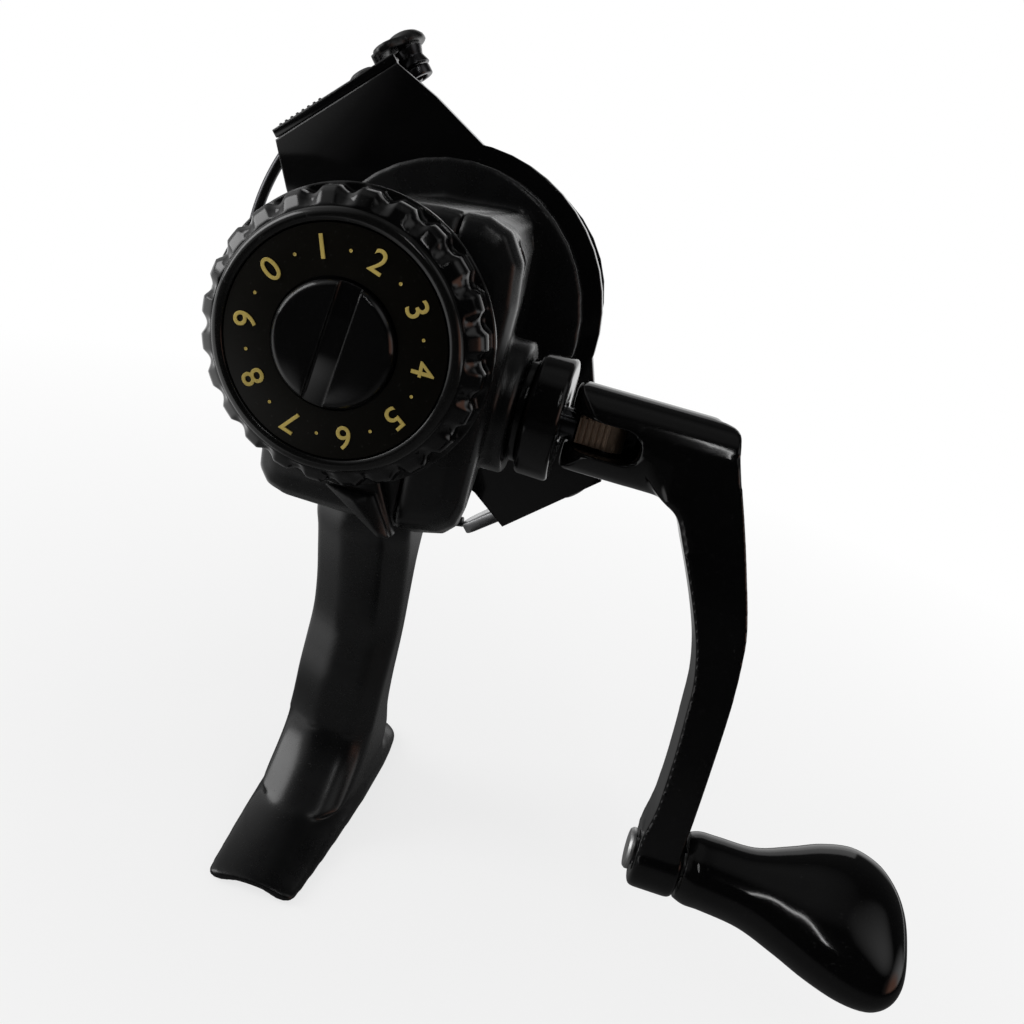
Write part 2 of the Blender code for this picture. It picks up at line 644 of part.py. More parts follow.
def make_drag_knob():
    """The fluted knob with its flange, raised bezel, recess and drive keys, and what sits in the recess."""
    knob_axis = axis("knob_axis", main_axis, (0, 0, 0))
    flange_rear = KNOB_DEPTH - KNOB_FLANGE_DEPTH
    knob = turned("drag_knob", [
        (0, KNOB_DEPTH), (KNOB_FLANGE_RADIUS, KNOB_DEPTH), (KNOB_FLANGE_RADIUS, flange_rear),
        (BEZEL_RADIUS, flange_rear), (BEZEL_RADIUS, 0), (BEZEL_RADIUS - BEZEL_WIDTH, 0),
        (BEZEL_RADIUS - BEZEL_WIDTH, KNOB_RECESS), (0, KNOB_RECESS)], knob_axis, steps=36, kind="gloss_black")
    middle = KNOB_GRIP_RADIUS - FLUTE_DEPTH / 2
    lobes = []
    for index in range(KNOB_FLUTES * 4):
        angle = math.tau * index / (KNOB_FLUTES * 4)
        radius = middle + FLUTE_DEPTH / 2 * math.cos(KNOB_FLUTES * angle)
        lobes.append((radius * math.cos(angle), radius * math.sin(angle)))
    grip = prism("knob_flutes", lobes, -flange_rear - SINK, -BEZEL_DEPTH, knob_axis,
                 holes=[arc((0, 0), BEZEL_RADIUS - BEZEL_WIDTH / 2, 0, math.tau * 35 / 36, 36)])
    join(knob, grip)
    bore = rod("knob_bore", DRAG_TUBE_RADIUS + GAP, knob_floor_front, KNOB_DEPTH + OVERRUN, knob_axis,
               steps=36)
    groove = ring("knob_groove", KNOB_GROOVE_INNER, KNOB_GROOVE_OUTER, KNOB_DEPTH - KNOB_GROOVE_DEPTH,
                  KNOB_DEPTH + OVERRUN, knob_axis, steps=36)
    hole = rod("knob_hole", CAP_SHANK_RADIUS + GAP, KNOB_RECESS - OVERRUN, knob_floor_front + OVERRUN,
               knob_axis)
    cut(knob, bore, groove, hole)
    for side in (-1, 1):
        key = rod(f"knob_key_{side}", KEY_RADIUS, knob_floor_front - SINK, nut_front - GAP, knob_axis,
                  place=(side * KEY_CIRCLE, 0, 0), steps=12)
        join(knob, key)
    cap_base = KNOB_RECESS - GAP
    cap = turned("drag_cap_screw", [
        (0, -CAP_PROUD), (CAP_RADIUS - CAP_BEVEL, -CAP_PROUD), (CAP_RADIUS, CAP_BEVEL - CAP_PROUD),
        (CAP_RADIUS, cap_base), (CAP_SHANK_RADIUS, cap_base), (CAP_SHANK_RADIUS, knob_floor_front - GAP),
        (0, knob_floor_front - GAP)], knob_axis, steps=30, kind="gloss_black")
    slot = box("cap_slot", (-CAP_RADIUS - OVERRUN, -CAP_PROUD - OVERRUN, -CAP_SLOT_WIDTH / 2),
               (CAP_RADIUS + OVERRUN, CAP_SLOT_DEPTH - CAP_PROUD, CAP_SLOT_WIDTH / 2), knob_axis,
               turn=(0, -CAP_SLOT_ANGLE, 0))
    cut(cap, slot)
    ring("dial_ring", CAP_RADIUS + GAP, BEZEL_RADIUS - BEZEL_WIDTH - GAP, cap_base - DIAL_THICKNESS, cap_base,
         knob_axis, steps=36, kind="olive_black")
    nut = ring("drag_pressure_nut", SHAFT_BORE, DRAG_BORE - GAP, nut_rear, nut_front, knob_axis,
               kind="bronze")
    for side in (-1, 1):
        cut(nut, rod(f"nut_hole_{side}", KEY_RADIUS + GAP + GAP / 2, nut_rear - OVERRUN, nut_front + OVERRUN,
                     knob_axis, place=(side * KEY_CIRCLE, 0, 0), steps=12))


def make_drag():
    """The spring washer, the two friction washers and the hub between them."""
    inner = SHAFT_BORE + GAP
    turned("drag_spring", [
        (inner, drag_spring_rear + DRAG_SPRING_SHEET), (inner, drag_spring_rear),
        (WASHER_RADIUS, drag_spring_rear + DRAG_SPRING_LENGTH - DRAG_SPRING_SHEET),
        (WASHER_RADIUS, drag_spring_rear + DRAG_SPRING_LENGTH)], main_axis, kind="steel")
    ring("rear_drag_washer", inner, WASHER_RADIUS, rear_washer_rear, rear_washer_rear + WASHER_THICKNESS,
         main_axis, kind="felt")
    ring("front_drag_washer", HUB_SLEEVE_RADIUS + GAP, WASHER_RADIUS, front_washer_rear,
         front_washer_rear + WASHER_THICKNESS, main_axis, kind="felt")
    hub_axis = axis("hub_axis", main_axis, (0, hub_rear, 0))
    turned("drag_hub", [
        (SHAFT_BORE, 0), (HUB_DISC_RADIUS, 0), (HUB_DISC_RADIUS, HUB_DISC_THICKNESS),
        (HUB_SLEEVE_RADIUS, HUB_DISC_THICKNESS), (HUB_SLEEVE_RADIUS, HUB_SLEEVE_FRONT - hub_rear),
        (SHAFT_BORE, HUB_SLEEVE_FRONT - hub_rear)], hub_axis, kind="bronze")


def ramp(value, start, end):
    """How far the value is on its way from start to end, between nought and one."""
    return min(1, max(0, (value - start) / (end - start)))


def side_span(depth):
    """Half width of the crank's side at one depth."""
    return BODY_SPAN * (1 + (TAPER_SHARE - 1) * ramp(depth, TAPER_REAR, BODY_FRONT))


def body_section(depth, inset):
    """Points round the housing at one depth, with every side moved inwards by the inset."""
    lowest = REAR_DROP + (BODY_DROP - REAR_DROP) * ramp(depth, BODY_REAR, CHIN_FRONT)
    lean = (side_span(depth) - PARTING_X) / (BODY_SPAN - PARTING_X)
    loop = []
    deepest = min(up for _, up in BODY_OUTLINE_SHARES)
    for across_share, up_share in BODY_OUTLINE_SHARES:
        across = across_share * BODY_SPAN
        if across > PARTING_X:
            across = PARTING_X + (across - PARTING_X) * lean
        up = up_share * BODY_SPAN if up_share > 0 else -lowest * up_share / deepest
        loop.append(Vector((across, up)))
    points = []
    for index, point in enumerate(loop):
        before = point - loop[index - 1]
        after = loop[(index + 1) % len(loop)] - point
        first = Vector((before.y, -before.x)).normalized()
        second = Vector((after.y, -after.x)).normalized()
        moved = point + (first + second) * inset / (1 + first.dot(second))
        points.append((moved.x, depth, moved.y))
    return points


def body_block(name, kind=None):
    """The housing's full outer shape, closed and solid, with a rounded rear edge."""
    sections = [body_section(BODY_REAR + along * BODY_ROUNDING, inwards * BODY_ROUNDING)
                for along, inwards in ROUNDED_EDGE_SHARES]
    for depth in (TAPER_REAR, CHIN_FRONT, BODY_FRONT + SINK):
        sections.append(body_section(depth, 0))
    return loft(name, sections, main_axis, kind=kind)


def body_cavity(name):
    """The hollow inside the housing."""
    sections = [body_section(depth, BODY_WALL) for depth in (cavity_rear, TAPER_REAR, CHIN_FRONT,
                                                             cavity_front)]
    return loft(name, sections, main_axis)


def stem_section(drop, rear, front):
    """Points round the stem at one height, with chamfered edges."""
    half = STEM_WIDTH / 2
    edge = min(STEM_CHAMFER, (front - rear) / 3)
    small = edge * STEM_CORNER_SHARE
    points = [(half, rear + edge), (half - small, rear + small), (half - edge, rear), (edge - half, rear),
              (small - half, rear + small), (-half, rear + edge), (-half, front - edge),
              (small - half, front - small), (edge - half, front), (half - edge, front),
              (half - small, front - small), (half, front - edge)]
    return [(across, depth, -drop) for across, depth in points]


def foot_section(depth, half, thickness):
    """Points round the foot at one depth: flat sole, low sides and a rounded ridge."""
    return [(across * half, depth, up * thickness - AXIS_HEIGHT) for across, up in FOOT_RIDGE_SHARES]


def cover_screw_places():
    """Depth and height of each cover screw about the main axis."""
    return [(depth * BODY_FRONT, BODY_SPAN - COVER_SCREW_INSET if side > 0 else LOW_SCREW_INSET - BODY_DROP)
            for depth, side in COVER_SCREW_PLACES]


def lug(name, low, high, place):
    """A round post that holds a cover screw."""
    return rod(name, COVER_SCREW_HEAD + BODY_WALL / 2, low, high, main_axis, (0, *place), "X", 16)


def make_body():
    """The left shell with its drag tube, front flange, stem and foot."""
    body = body_block("body_housing", "satin_black")
    cut(body, body_cavity("body_cavity"))
    tube = rod("drag_tube", DRAG_TUBE_RADIUS, knob_floor_front + GAP, cavity_rear - SINK, main_axis, steps=36)
    flange = rod("front_flange", FLANGE_RADIUS, BODY_FRONT, flange_front, main_axis, steps=36)
    stem_top = BODY_DROP - STEM_SINK
    stem = loft("stem", [stem_section(stem_top + drop * (AXIS_HEIGHT - stem_top), rear * BODY_FRONT,
                                      front * BODY_FRONT) for drop, rear, front in STEM_SHARES], main_axis)
    foot = loft("foot", [foot_section(depth * BODY_FRONT, half * FOOT_HALF_WIDTH, rise * FOOT_THICKNESS)
                         for depth, half, rise in FOOT_SHARES], main_axis)
    join(body, flange, tube, stem, foot)
    for index, place in enumerate(cover_screw_places()):
        join(body, lug(f"post_{index}", PARTING_X - POST_LENGTH, PARTING_X + OVERRUN, place))
    cut(body, box("cover_side", (PARTING_X - GAP / 2, BODY_REAR - OVERRUN, -2 * BODY_SPAN),
                  (2 * BODY_SPAN, BODY_FRONT - GAP, 2 * BODY_SPAN), main_axis))
    sleeve_bore = HUB_SLEEVE_RADIUS + GAP
    rear_void = turned("rear_void", [
        (0, cavity_rear + OVERRUN), (sleeve_bore, cavity_rear + OVERRUN), (sleeve_bore, drag_floor),
        (DRAG_BORE, drag_floor), (DRAG_BORE, 0), (0, 0)], main_axis, steps=36)
    journal_bore = JOURNAL_RADIUS + 2 * GAP
    front_void = turned("front_void", [
        (0, flange_front + OVERRUN), (RETAINER_RADIUS + GAP, flange_front + OVERRUN),
        (RETAINER_RADIUS + GAP, retainer_rear - GAP), (BEARING_RADIUS + GAP, retainer_rear - GAP),
        (BEARING_RADIUS + GAP, bearing_rear - GAP), (journal_bore, bearing_rear - GAP),
        (journal_bore, cavity_front - OVERRUN), (0, cavity_front - OVERRUN)], main_axis, steps=32)
    lever_hole = rod("lever_hole", LEVER_SHAFT_RADIUS + GAP, BODY_REAR - OVERRUN, cavity_rear + OVERRUN,
                     main_axis, place=(LEVER_X, 0, -LEVER_DROP))
    cut(body, rear_void, front_void, lever_hole, solver="MANIFOLD")
    for index, place in enumerate(cover_screw_places()):
        cut(body, rod(f"post_bore_{index}", COVER_SCREW_RADIUS + GAP, PARTING_X - POST_BORE_DEPTH,
                      PARTING_X + OVERRUN, main_axis, (0, *place), "X", 12), solver="MANIFOLD")
    for name, low, high in (("rear", 0, KNOB_BEHIND - LAND_LENGTH / 2),
                            ("front", KNOB_BEHIND + LAND_LENGTH / 2, 2 * BODY_FRONT)):
        cut(body, rod(f"{name}_saddle", SADDLE_RADIUS, low, high, main_axis,
                      (0, 0, SADDLE_DEPTH - SADDLE_RADIUS - AXIS_HEIGHT), steps=36), solver="MANIFOLD")


def make_cover():
    """The right shell with the crank's bearing boss and its screws."""
    cover = body_block("side_cover", "gloss_black")
    cut(cover, body_cavity("cover_cavity"))
    crank_place = (0, CRANK_DEPTH, -CRANK_DROP)
    join(cover, turned("bearing_boss", [
        (0, COLLAR_END), (COLLAR_RADIUS - CAP_BEVEL, COLLAR_END), (COLLAR_RADIUS, COLLAR_END - CAP_BEVEL),
        (COLLAR_RADIUS, COLLAR_START), (BOSS_RADIUS, COLLAR_START), (BOSS_RADIUS, BOSS_INNER),
        (0, BOSS_INNER)],
        main_axis, crank_place, "X", 30))
    for index, place in enumerate(cover_screw_places()):
        join(cover, lug(f"lug_{index}", PARTING_X - OVERRUN, side_span(place[0]) - LUG_SINK, place))
    keep(cover, box("cover_half", (PARTING_X + GAP / 2, BODY_REAR - OVERRUN, -2 * BODY_SPAN),
                    (2 * BODY_SPAN, BODY_FRONT - GAP, 2 * BODY_SPAN), main_axis))
    pawl_place = (0, PAWL_DEPTH, -PAWL_DROP)
    join(cover, rod("pawl_post", PAWL_POST_RADIUS, RATCHET_OUTER + GAP, BODY_SPAN - BODY_WALL, main_axis,
                    pawl_place, "X", 12))
    shaft_bore = GEAR_SHAFT_RADIUS + GAP
    bush_bore = BUSH_RADIUS + GAP
    cut(cover, turned("boss_void", [
        (0, COLLAR_END + OVERRUN), (shaft_bore, COLLAR_END + OVERRUN), (shaft_bore, COLLAR_END - 2 * GAP),
        (bush_bore, COLLAR_END - 2 * GAP), (bush_bore, BOSS_INNER - OVERRUN), (0, BOSS_INNER - OVERRUN)],
        main_axis, crank_place, "X", 32))
    cut(cover, rod("pawl_screw_bore", PAWL_SCREW_RADIUS + GAP, RATCHET_INNER,
                   RATCHET_OUTER + PAWL_SCREW_REACH + 2 * GAP, main_axis, pawl_place, "X", 10))
    for index, place in enumerate(cover_screw_places()):
        bore = COVER_SCREW_RADIUS + GAP
        seat = COVER_SCREW_HEAD + GAP
        seat_base = side_span(place[0]) - LUG_SINK - BODY_WALL / 2
        cut(cover, turned(f"lug_void_{index}", [
            (0, BODY_SPAN + OVERRUN), (seat, BODY_SPAN + OVERRUN), (seat, seat_base), (bore, seat_base),
            (bore, PARTING_X - OVERRUN), (0, PARTING_X - OVERRUN)], main_axis, (0, *place), "X", 16))
        base = seat_base + GAP
        turned(f"cover_screw_{index + 1}", [
            (0, base + COVER_SCREW_HEAD_HEIGHT),
            (COVER_SCREW_HEAD * HEAD_CROWN_SHARE, base + COVER_SCREW_HEAD_HEIGHT),
            (COVER_SCREW_HEAD, base + COVER_SCREW_HEAD_HEIGHT / 2), (COVER_SCREW_HEAD, base),
            (COVER_SCREW_RADIUS, base), (COVER_SCREW_RADIUS, PARTING_X - BODY_WALL),
            (0, PARTING_X - BODY_WALL)], main_axis, (0, *place), "X", 16, "steel")


def make_gears():
    """Face gear with its shaft and eccentric pin, two bushes, pinion, its bearing and the retainer."""
    crank_axis = axis("gear_axis", main_axis, (0, CRANK_DEPTH, -CRANK_DROP))
    gear = turned("drive_gear", [
        (0, GEAR_WEB_INNER), (GEAR_RING_INNER, GEAR_WEB_INNER), (GEAR_RING_INNER, GEAR_TOOTH_ROOT),
        (GEAR_RING_OUTER, GEAR_TOOTH_ROOT), (GEAR_RING_OUTER, GEAR_OUTER), (GEAR_SHAFT_RADIUS, GEAR_OUTER),
        (GEAR_SHAFT_RADIUS, COLLAR_END), (0, COLLAR_END)], crank_axis, along="X", steps=36, kind="bronze")
    near = math.sqrt(GEAR_RING_INNER ** 2 - CRANK_DROP ** 2)
    far = math.sqrt((GEAR_RING_OUTER - GAP / 2) ** 2 - CRANK_DROP ** 2) - GEAR_TOOTH_WIDTH / 2
    mesh = bpy.data.meshes.new("gear_teeth")
    teeth = bmesh.new()
    size = Vector((GEAR_TOOTH_ROOT + SINK - GEAR_TOOTH_TIP, far - near, GEAR_TOOTH_WIDTH))
    middle = Vector((GEAR_TOOTH_TIP + size.x / 2, (near + far) / 2, CRANK_DROP))
    for index in range(GEAR_TEETH):
        turn = Matrix.Rotation(math.tau * index / GEAR_TEETH, 4, "X")
        matrix = turn @ Matrix.Translation(middle) @ Matrix.Diagonal((*size, 1))
        bmesh.ops.create_cube(teeth, size=1, matrix=matrix)
    teeth.to_mesh(mesh)
    teeth.free()
    pin = rod("eccentric_pin", CRANK_PIN_RADIUS, SLIDER_PLATE_OUTER + GAP, GEAR_WEB_INNER + SINK, crank_axis,
              (0, 0, -CRANK_PIN_CIRCLE), "X", 16)
    join(gear, add("gear_teeth", mesh, crank_axis), pin)
    inner_bush = BOSS_INNER + GAP
    outer_bush = COLLAR_END - 3 * GAP - BUSH_LENGTH
    for name, start in (("inner_gear_bush", inner_bush), ("outer_gear_bush", outer_bush)):
        ring(name, GEAR_SHAFT_RADIUS + GAP, BUSH_RADIUS, start, start + BUSH_LENGTH, crank_axis, along="X",
             steps=24, kind="brass")
    pinion_axis = axis("pinion_axis", main_axis, (0, PINION_REAR, 0))
    radii = (PINION_ROOT_RADIUS, PINION_PITCH_RADIUS, PINION_TIP_RADIUS)
    flank = [(radius, share * GEAR_TOOTH_WIDTH) for radius, share in zip(radii, PINION_TOOTH_SHARES)]
    outline = []
    for index in range(PINION_TEETH):
        middle_angle = math.pi * (2 * index + 1) / PINION_TEETH
        for radius, half in flank + [(radius, -half) for radius, half in reversed(flank)]:
            angle = middle_angle - half / radius
            outline.append((radius * math.cos(angle), radius * math.sin(angle)))
    teeth_length = PINION_TEETH_FRONT - PINION_REAR
    pinion = prism("pinion", outline, -teeth_length, 0, pinion_axis, kind="brass")
    nose = ROTOR_HUB_FRONT + 2 * GAP + ROTOR_NUT_LENGTH + GAP
    join(pinion, rod("pinion_journal", JOURNAL_RADIUS, teeth_length - SINK, nose - PINION_REAR, pinion_axis,
                     steps=24))
    cut(pinion,
        rod("pinion_bore", PINION_BORE, -OVERRUN, nose - PINION_REAR + OVERRUN, pinion_axis, steps=16))
    ring("pinion_bearing", JOURNAL_RADIUS + GAP, BEARING_RADIUS, bearing_rear, bearing_rear + BEARING_LENGTH,
         main_axis, steps=24, kind="steel")
    ring("bearing_retainer", JOURNAL_RADIUS + 2 * GAP, RETAINER_RADIUS, retainer_rear,
         retainer_rear + RETAINER_THICKNESS, main_axis, kind="steel")


def make_slider():
    """Main shaft, the slider that carries it back and forth, and the slider's guide rod."""
    slider_axis = axis("slider_axis", main_axis, (0, CRANK_DEPTH, 0))
    block = ring("slider", SHAFT_BORE, SLIDER_BLOCK_RADIUS, -SLIDER_HALF_LENGTH, SLIDER_HALF_LENGTH,
                 slider_axis,
                 steps=24, kind="alloy")
    reach = CRANK_PIN_CIRCLE + CRANK_PIN_RADIUS + GAP
    slot_half = CRANK_PIN_RADIUS + GAP
    plate = box("slider_plate",
                (SLIDER_PLATE_INNER, -SLIDER_HALF_LENGTH, -CRANK_DROP - reach - SLIDER_SLOT_WALL),
                (SLIDER_PLATE_OUTER, SLIDER_HALF_LENGTH, -CRANK_DROP + reach + SLIDER_SLOT_WALL), slider_axis)
    slot = box("slider_slot", (SLIDER_PLATE_INNER - SINK / 2, -slot_half, -CRANK_DROP - reach),
               (SLIDER_PLATE_OUTER + OVERRUN, slot_half, -CRANK_DROP + reach), slider_axis)
    ear_half = SLIDER_HALF_LENGTH * SLIDER_EAR_SHARE
    ear = box("slider_ear", (GUIDE_X - 2 * GUIDE_RADIUS, -ear_half, GUIDE_Z - 2 * GUIDE_RADIUS),
              (-SHAFT_BORE - SINK, ear_half, GUIDE_Z + 2 * GUIDE_RADIUS), slider_axis)
    shaft_hole = rod("slider_bore", SHAFT_BORE, -STROKE * 2, STROKE * 2, slider_axis, steps=24)
    guide_hole = rod("guide_hole", GUIDE_RADIUS + GAP, -SLIDER_HALF_LENGTH, SLIDER_HALF_LENGTH, slider_axis,
                     (GUIDE_X, 0, GUIDE_Z), steps=12)
    join(block, plate, ear)
    cut(block, slot, shaft_hole, guide_hole)
    shaft_axis = axis("shaft_axis", main_axis, (0, 0, 0))
    rod("main_shaft", SHAFT_RADIUS, SHAFT_REAR, SHAFT_FRONT, shaft_axis, steps=16, kind="steel")
    rod("guide_rod", GUIDE_RADIUS, cavity_rear + GAP, cavity_front - GAP, main_axis, (GUIDE_X, 0, GUIDE_Z),
        steps=12, kind="steel")


def make_anti_reverse():
    """Ratchet wheel on the gear's shaft, its pawl and screw, and the lever under the knob."""
    crank_axis = axis("ratchet_axis", main_axis, (0, CRANK_DEPTH, -CRANK_DROP))
    outline = []
    for index in range(RATCHET_TEETH):
        start = math.tau * (index + RATCHET_START_SHARE) / RATCHET_TEETH - math.pi / 2
        for radius, shares in ((RATCHET_ROOT, RATCHET_ROOT_SHARES), (RATCHET_RADIUS, RATCHET_TIP_SHARES)):
            for share in shares:
                angle = start + share * math.tau / RATCHET_TEETH
                outline.append((radius * math.cos(angle), radius * math.sin(angle)))
    prism("ratchet_wheel", outline, RATCHET_INNER, RATCHET_OUTER, crank_axis, turn=SIDEWAYS, kind="steel",
          holes=[arc((0, 0), GEAR_SHAFT_RADIUS + GAP, 0, math.tau * 23 / 24, 24)])
    pawl_axis = axis("pawl_axis", main_axis, (0, PAWL_DEPTH, -PAWL_DROP))
    tip_radius = RATCHET_RADIUS + 2 * GAP
    tip = (CRANK_DEPTH - PAWL_DEPTH + tip_radius * math.cos(PAWL_TIP_ANGLE),
           PAWL_DROP - CRANK_DROP + tip_radius * math.sin(PAWL_TIP_ANGLE))
    outline = capsule((0, 0), PAWL_BODY_RADIUS, tip, GAP, 4)
    prism("pawl", outline, RATCHET_INNER, RATCHET_OUTER, pawl_axis, turn=SIDEWAYS, kind="steel",
          holes=[arc((0, 0), PAWL_SCREW_RADIUS + GAP, 0, math.tau * 11 / 12, 12)])
    head = RATCHET_INNER - GAP
    turned("pawl_screw", [
        (0, head - SMALL_SCREW_HEAD_HEIGHT), (PAWL_BODY_RADIUS, head - SMALL_SCREW_HEAD_HEIGHT),
        (PAWL_BODY_RADIUS, head), (PAWL_SCREW_RADIUS, head),
        (PAWL_SCREW_RADIUS, RATCHET_OUTER + PAWL_SCREW_REACH), (0, RATCHET_OUTER + PAWL_SCREW_REACH)],
        pawl_axis, along="X", steps=16, kind="steel")
    lever_axis = axis("lever_axis", main_axis, (LEVER_X, 0, -LEVER_DROP))
    rear = BODY_REAR - GAP - LEVER_THICKNESS
    blade = scaled(LEVER_BLADE_SHARES, LEVER_REACH)
    lever = prism("anti_reverse_lever", blade, -BODY_REAR + GAP, -rear, lever_axis, kind="satin_black")
    hub = rod("lever_hub", LEVER_HUB_RADIUS, rear, BODY_REAR - GAP, lever_axis, steps=20)
    shaft = rod("lever_shaft", LEVER_SHAFT_RADIUS, rear, cavity_rear + 2 * GAP + LEVER_THICKNESS, lever_axis)
    thumb = prism("lever_thumb", scaled(LEVER_THUMB_SHARES, LEVER_REACH), -rear - SINK,
                  -rear + 2 * LEVER_THICKNESS, lever_axis, rounding=GAP)
    finger = box("lever_finger", (0, cavity_rear + GAP, -LEVER_SHAFT_RADIUS / 2),
                 (LEVER_FINGER, cavity_rear + GAP + LEVER_THICKNESS, LEVER_SHAFT_RADIUS / 2), lever_axis)
    join(lever, hub, shaft, thumb, finger)


def arm_plate(name, reach, half_width, shift, side, parent):
    """The flat rear plate of a rotor arm, which flares to the disc. It points up or down the local Z axis."""
    flare = ROTOR_RADIUS * FLARE_SHARE
    right, left = FLARE_ANGLES
    neck_height = reach * ARM_NECK_HEIGHT_SHARE
    points = [
        (shift - half_width, reach), (shift + half_width, reach),
        (half_width * ARM_NECK_SHARES[0], neck_height),
        (flare * math.sin(right), flare * math.cos(right)), (0, 0),
        (-flare * math.sin(left), flare * math.cos(left)), (-half_width * ARM_NECK_SHARES[1], neck_height)]
    if side < 0:
        points = [(-across, -up) for across, up in points]
    return prism(name, points, -ROTOR_REAR - PLATE_THICKNESS, -ROTOR_REAR, parent)


def wall_outline(half_width, shift):
    """The side view of an arm's outer wall, across and along the shaft, ending in the pivot's boss."""
    start = ROTOR_REAR + PLATE_THICKNESS / 2
    waist = half_width * ARM_WAIST_SHARES[0]
    waist_depth = start + (BAIL_DEPTH - start) * ARM_WAIST_SHARES[1]
    nose = arc((0, BAIL_DEPTH), PIVOT_BOSS_RADIUS, 0, math.pi, 9)
    return [(shift - half_width, start), (shift + half_width, start), (shift + waist, waist_depth), *nose,
            (shift - waist, waist_depth)]


def make_rotor():
    """The rotor with its cup and two arms, its nut, the main arm's cover and the bail spring."""
    rotor_axis = axis("rotor_axis", main_axis, (0, 0, 0), (0, -ARM_TURN, 0))
    disc_front = ROTOR_REAR + ROTOR_DISC
    bore = JOURNAL_RADIUS + GAP
    rotor = turned("rotor", [
        (bore, ROTOR_REAR), (ROTOR_RADIUS, ROTOR_REAR), (ROTOR_RADIUS, disc_front), (CUP_RADIUS, disc_front),
        (CUP_RADIUS, CUP_FRONT), (CUP_RADIUS - CUP_WALL, CUP_FRONT), (CUP_RADIUS - CUP_WALL, disc_front),
        (ROTOR_HUB_RADIUS, disc_front), (ROTOR_HUB_RADIUS, ROTOR_HUB_FRONT), (bore, ROTOR_HUB_FRONT)],
        rotor_axis, steps=48, kind="gloss_black")
    hole = rod("rotor_hole", bore + SINK, ROTOR_REAR - OVERRUN, disc_front + OVERRUN, rotor_axis, steps=24)
    arms = (("main", 1, MAIN_ARM_REACH, MAIN_ARM_WALL, ARM_HALF_WIDTH, ARM_SHIFT),
            ("far", -1, FAR_ARM_REACH, FAR_ARM_WALL, FAR_ARM_HALF_WIDTH, 0))
    for name, side, reach, thickness, half_width, shift in arms:
        plate = arm_plate(f"{name}_arm_plate", reach, half_width, shift, side, rotor_axis)
        low = reach - thickness if side > 0 else -reach
        high = reach if side > 0 else thickness - reach
        wall = prism(f"{name}_arm_wall", wall_outline(half_width, shift), low, high, rotor_axis, turn=FLAT)
        join(rotor, cut(plate, hole), wall)
    boss_top = MAIN_ARM_REACH + PIVOT_BOSS_HEIGHT
    pivot_place = (0, BAIL_DEPTH, 0)
    join(rotor,
         rod("pivot_boss", PIVOT_BOSS_RADIUS - GAP, MAIN_ARM_REACH - SINK, boss_top, rotor_axis, pivot_place,
                    "Z", 24))
    pocket_rear = ARM_COVER_REAR + POCKET_RIM
    pocket_front = ARM_COVER_FRONT - POCKET_RIM
    pocket = box("spring_pocket", (-POCKET_HALF_WIDTH, pocket_rear, MAIN_ARM_REACH - POCKET_DEPTH),
                 (POCKET_HALF_WIDTH, pocket_front, MAIN_ARM_REACH + OVERRUN), rotor_axis)
    main_pivot = rod("main_pivot_bore", PIVOT_BORE, MAIN_ARM_REACH - 2 * MAIN_ARM_WALL, boss_top + OVERRUN,
                     rotor_axis, pivot_place, "Z", 16)
    far_pivot = rod("far_pivot_bore", PIVOT_BORE, -FAR_ARM_REACH - OVERRUN, -FAR_ARM_REACH + 2 * FAR_ARM_WALL,
                    rotor_axis, pivot_place, "Z", 16)
    screw_depth = (ARM_COVER_REAR + POCKET_RIM / 2 + pocket_front) / 2
    screw_side = POCKET_HALF_WIDTH + SMALL_SCREW_HEAD + GAP
    screw_hole = rod("cover_screw_bore", SMALL_SCREW_RADIUS + GAP, MAIN_ARM_REACH - POCKET_DEPTH,
                     MAIN_ARM_REACH + 2 * ARM_COVER_THICKNESS + OVERRUN, rotor_axis,
                     (screw_side, screw_depth, 0),
                     "Z", 12)
    cut(rotor, pocket, main_pivot, far_pivot, screw_hole, solver="MANIFOLD")
    make_arm_cover(rotor_axis, screw_hole, screw_side, screw_depth)
    nut_rear_depth = ROTOR_HUB_FRONT + GAP
    hexagon = arc((0, 0), ROTOR_NUT_RADIUS, 0, math.tau * 5 / 6, 6)
    prism("rotor_nut", hexagon, -nut_rear_depth - ROTOR_NUT_LENGTH, -nut_rear_depth, rotor_axis, kind="brass",
          holes=[arc((0, 0), JOURNAL_RADIUS + GAP, 0, math.tau * 23 / 24, 24)])
    make_bail_spring(rotor_axis, (pocket_rear + pocket_front) / 2)


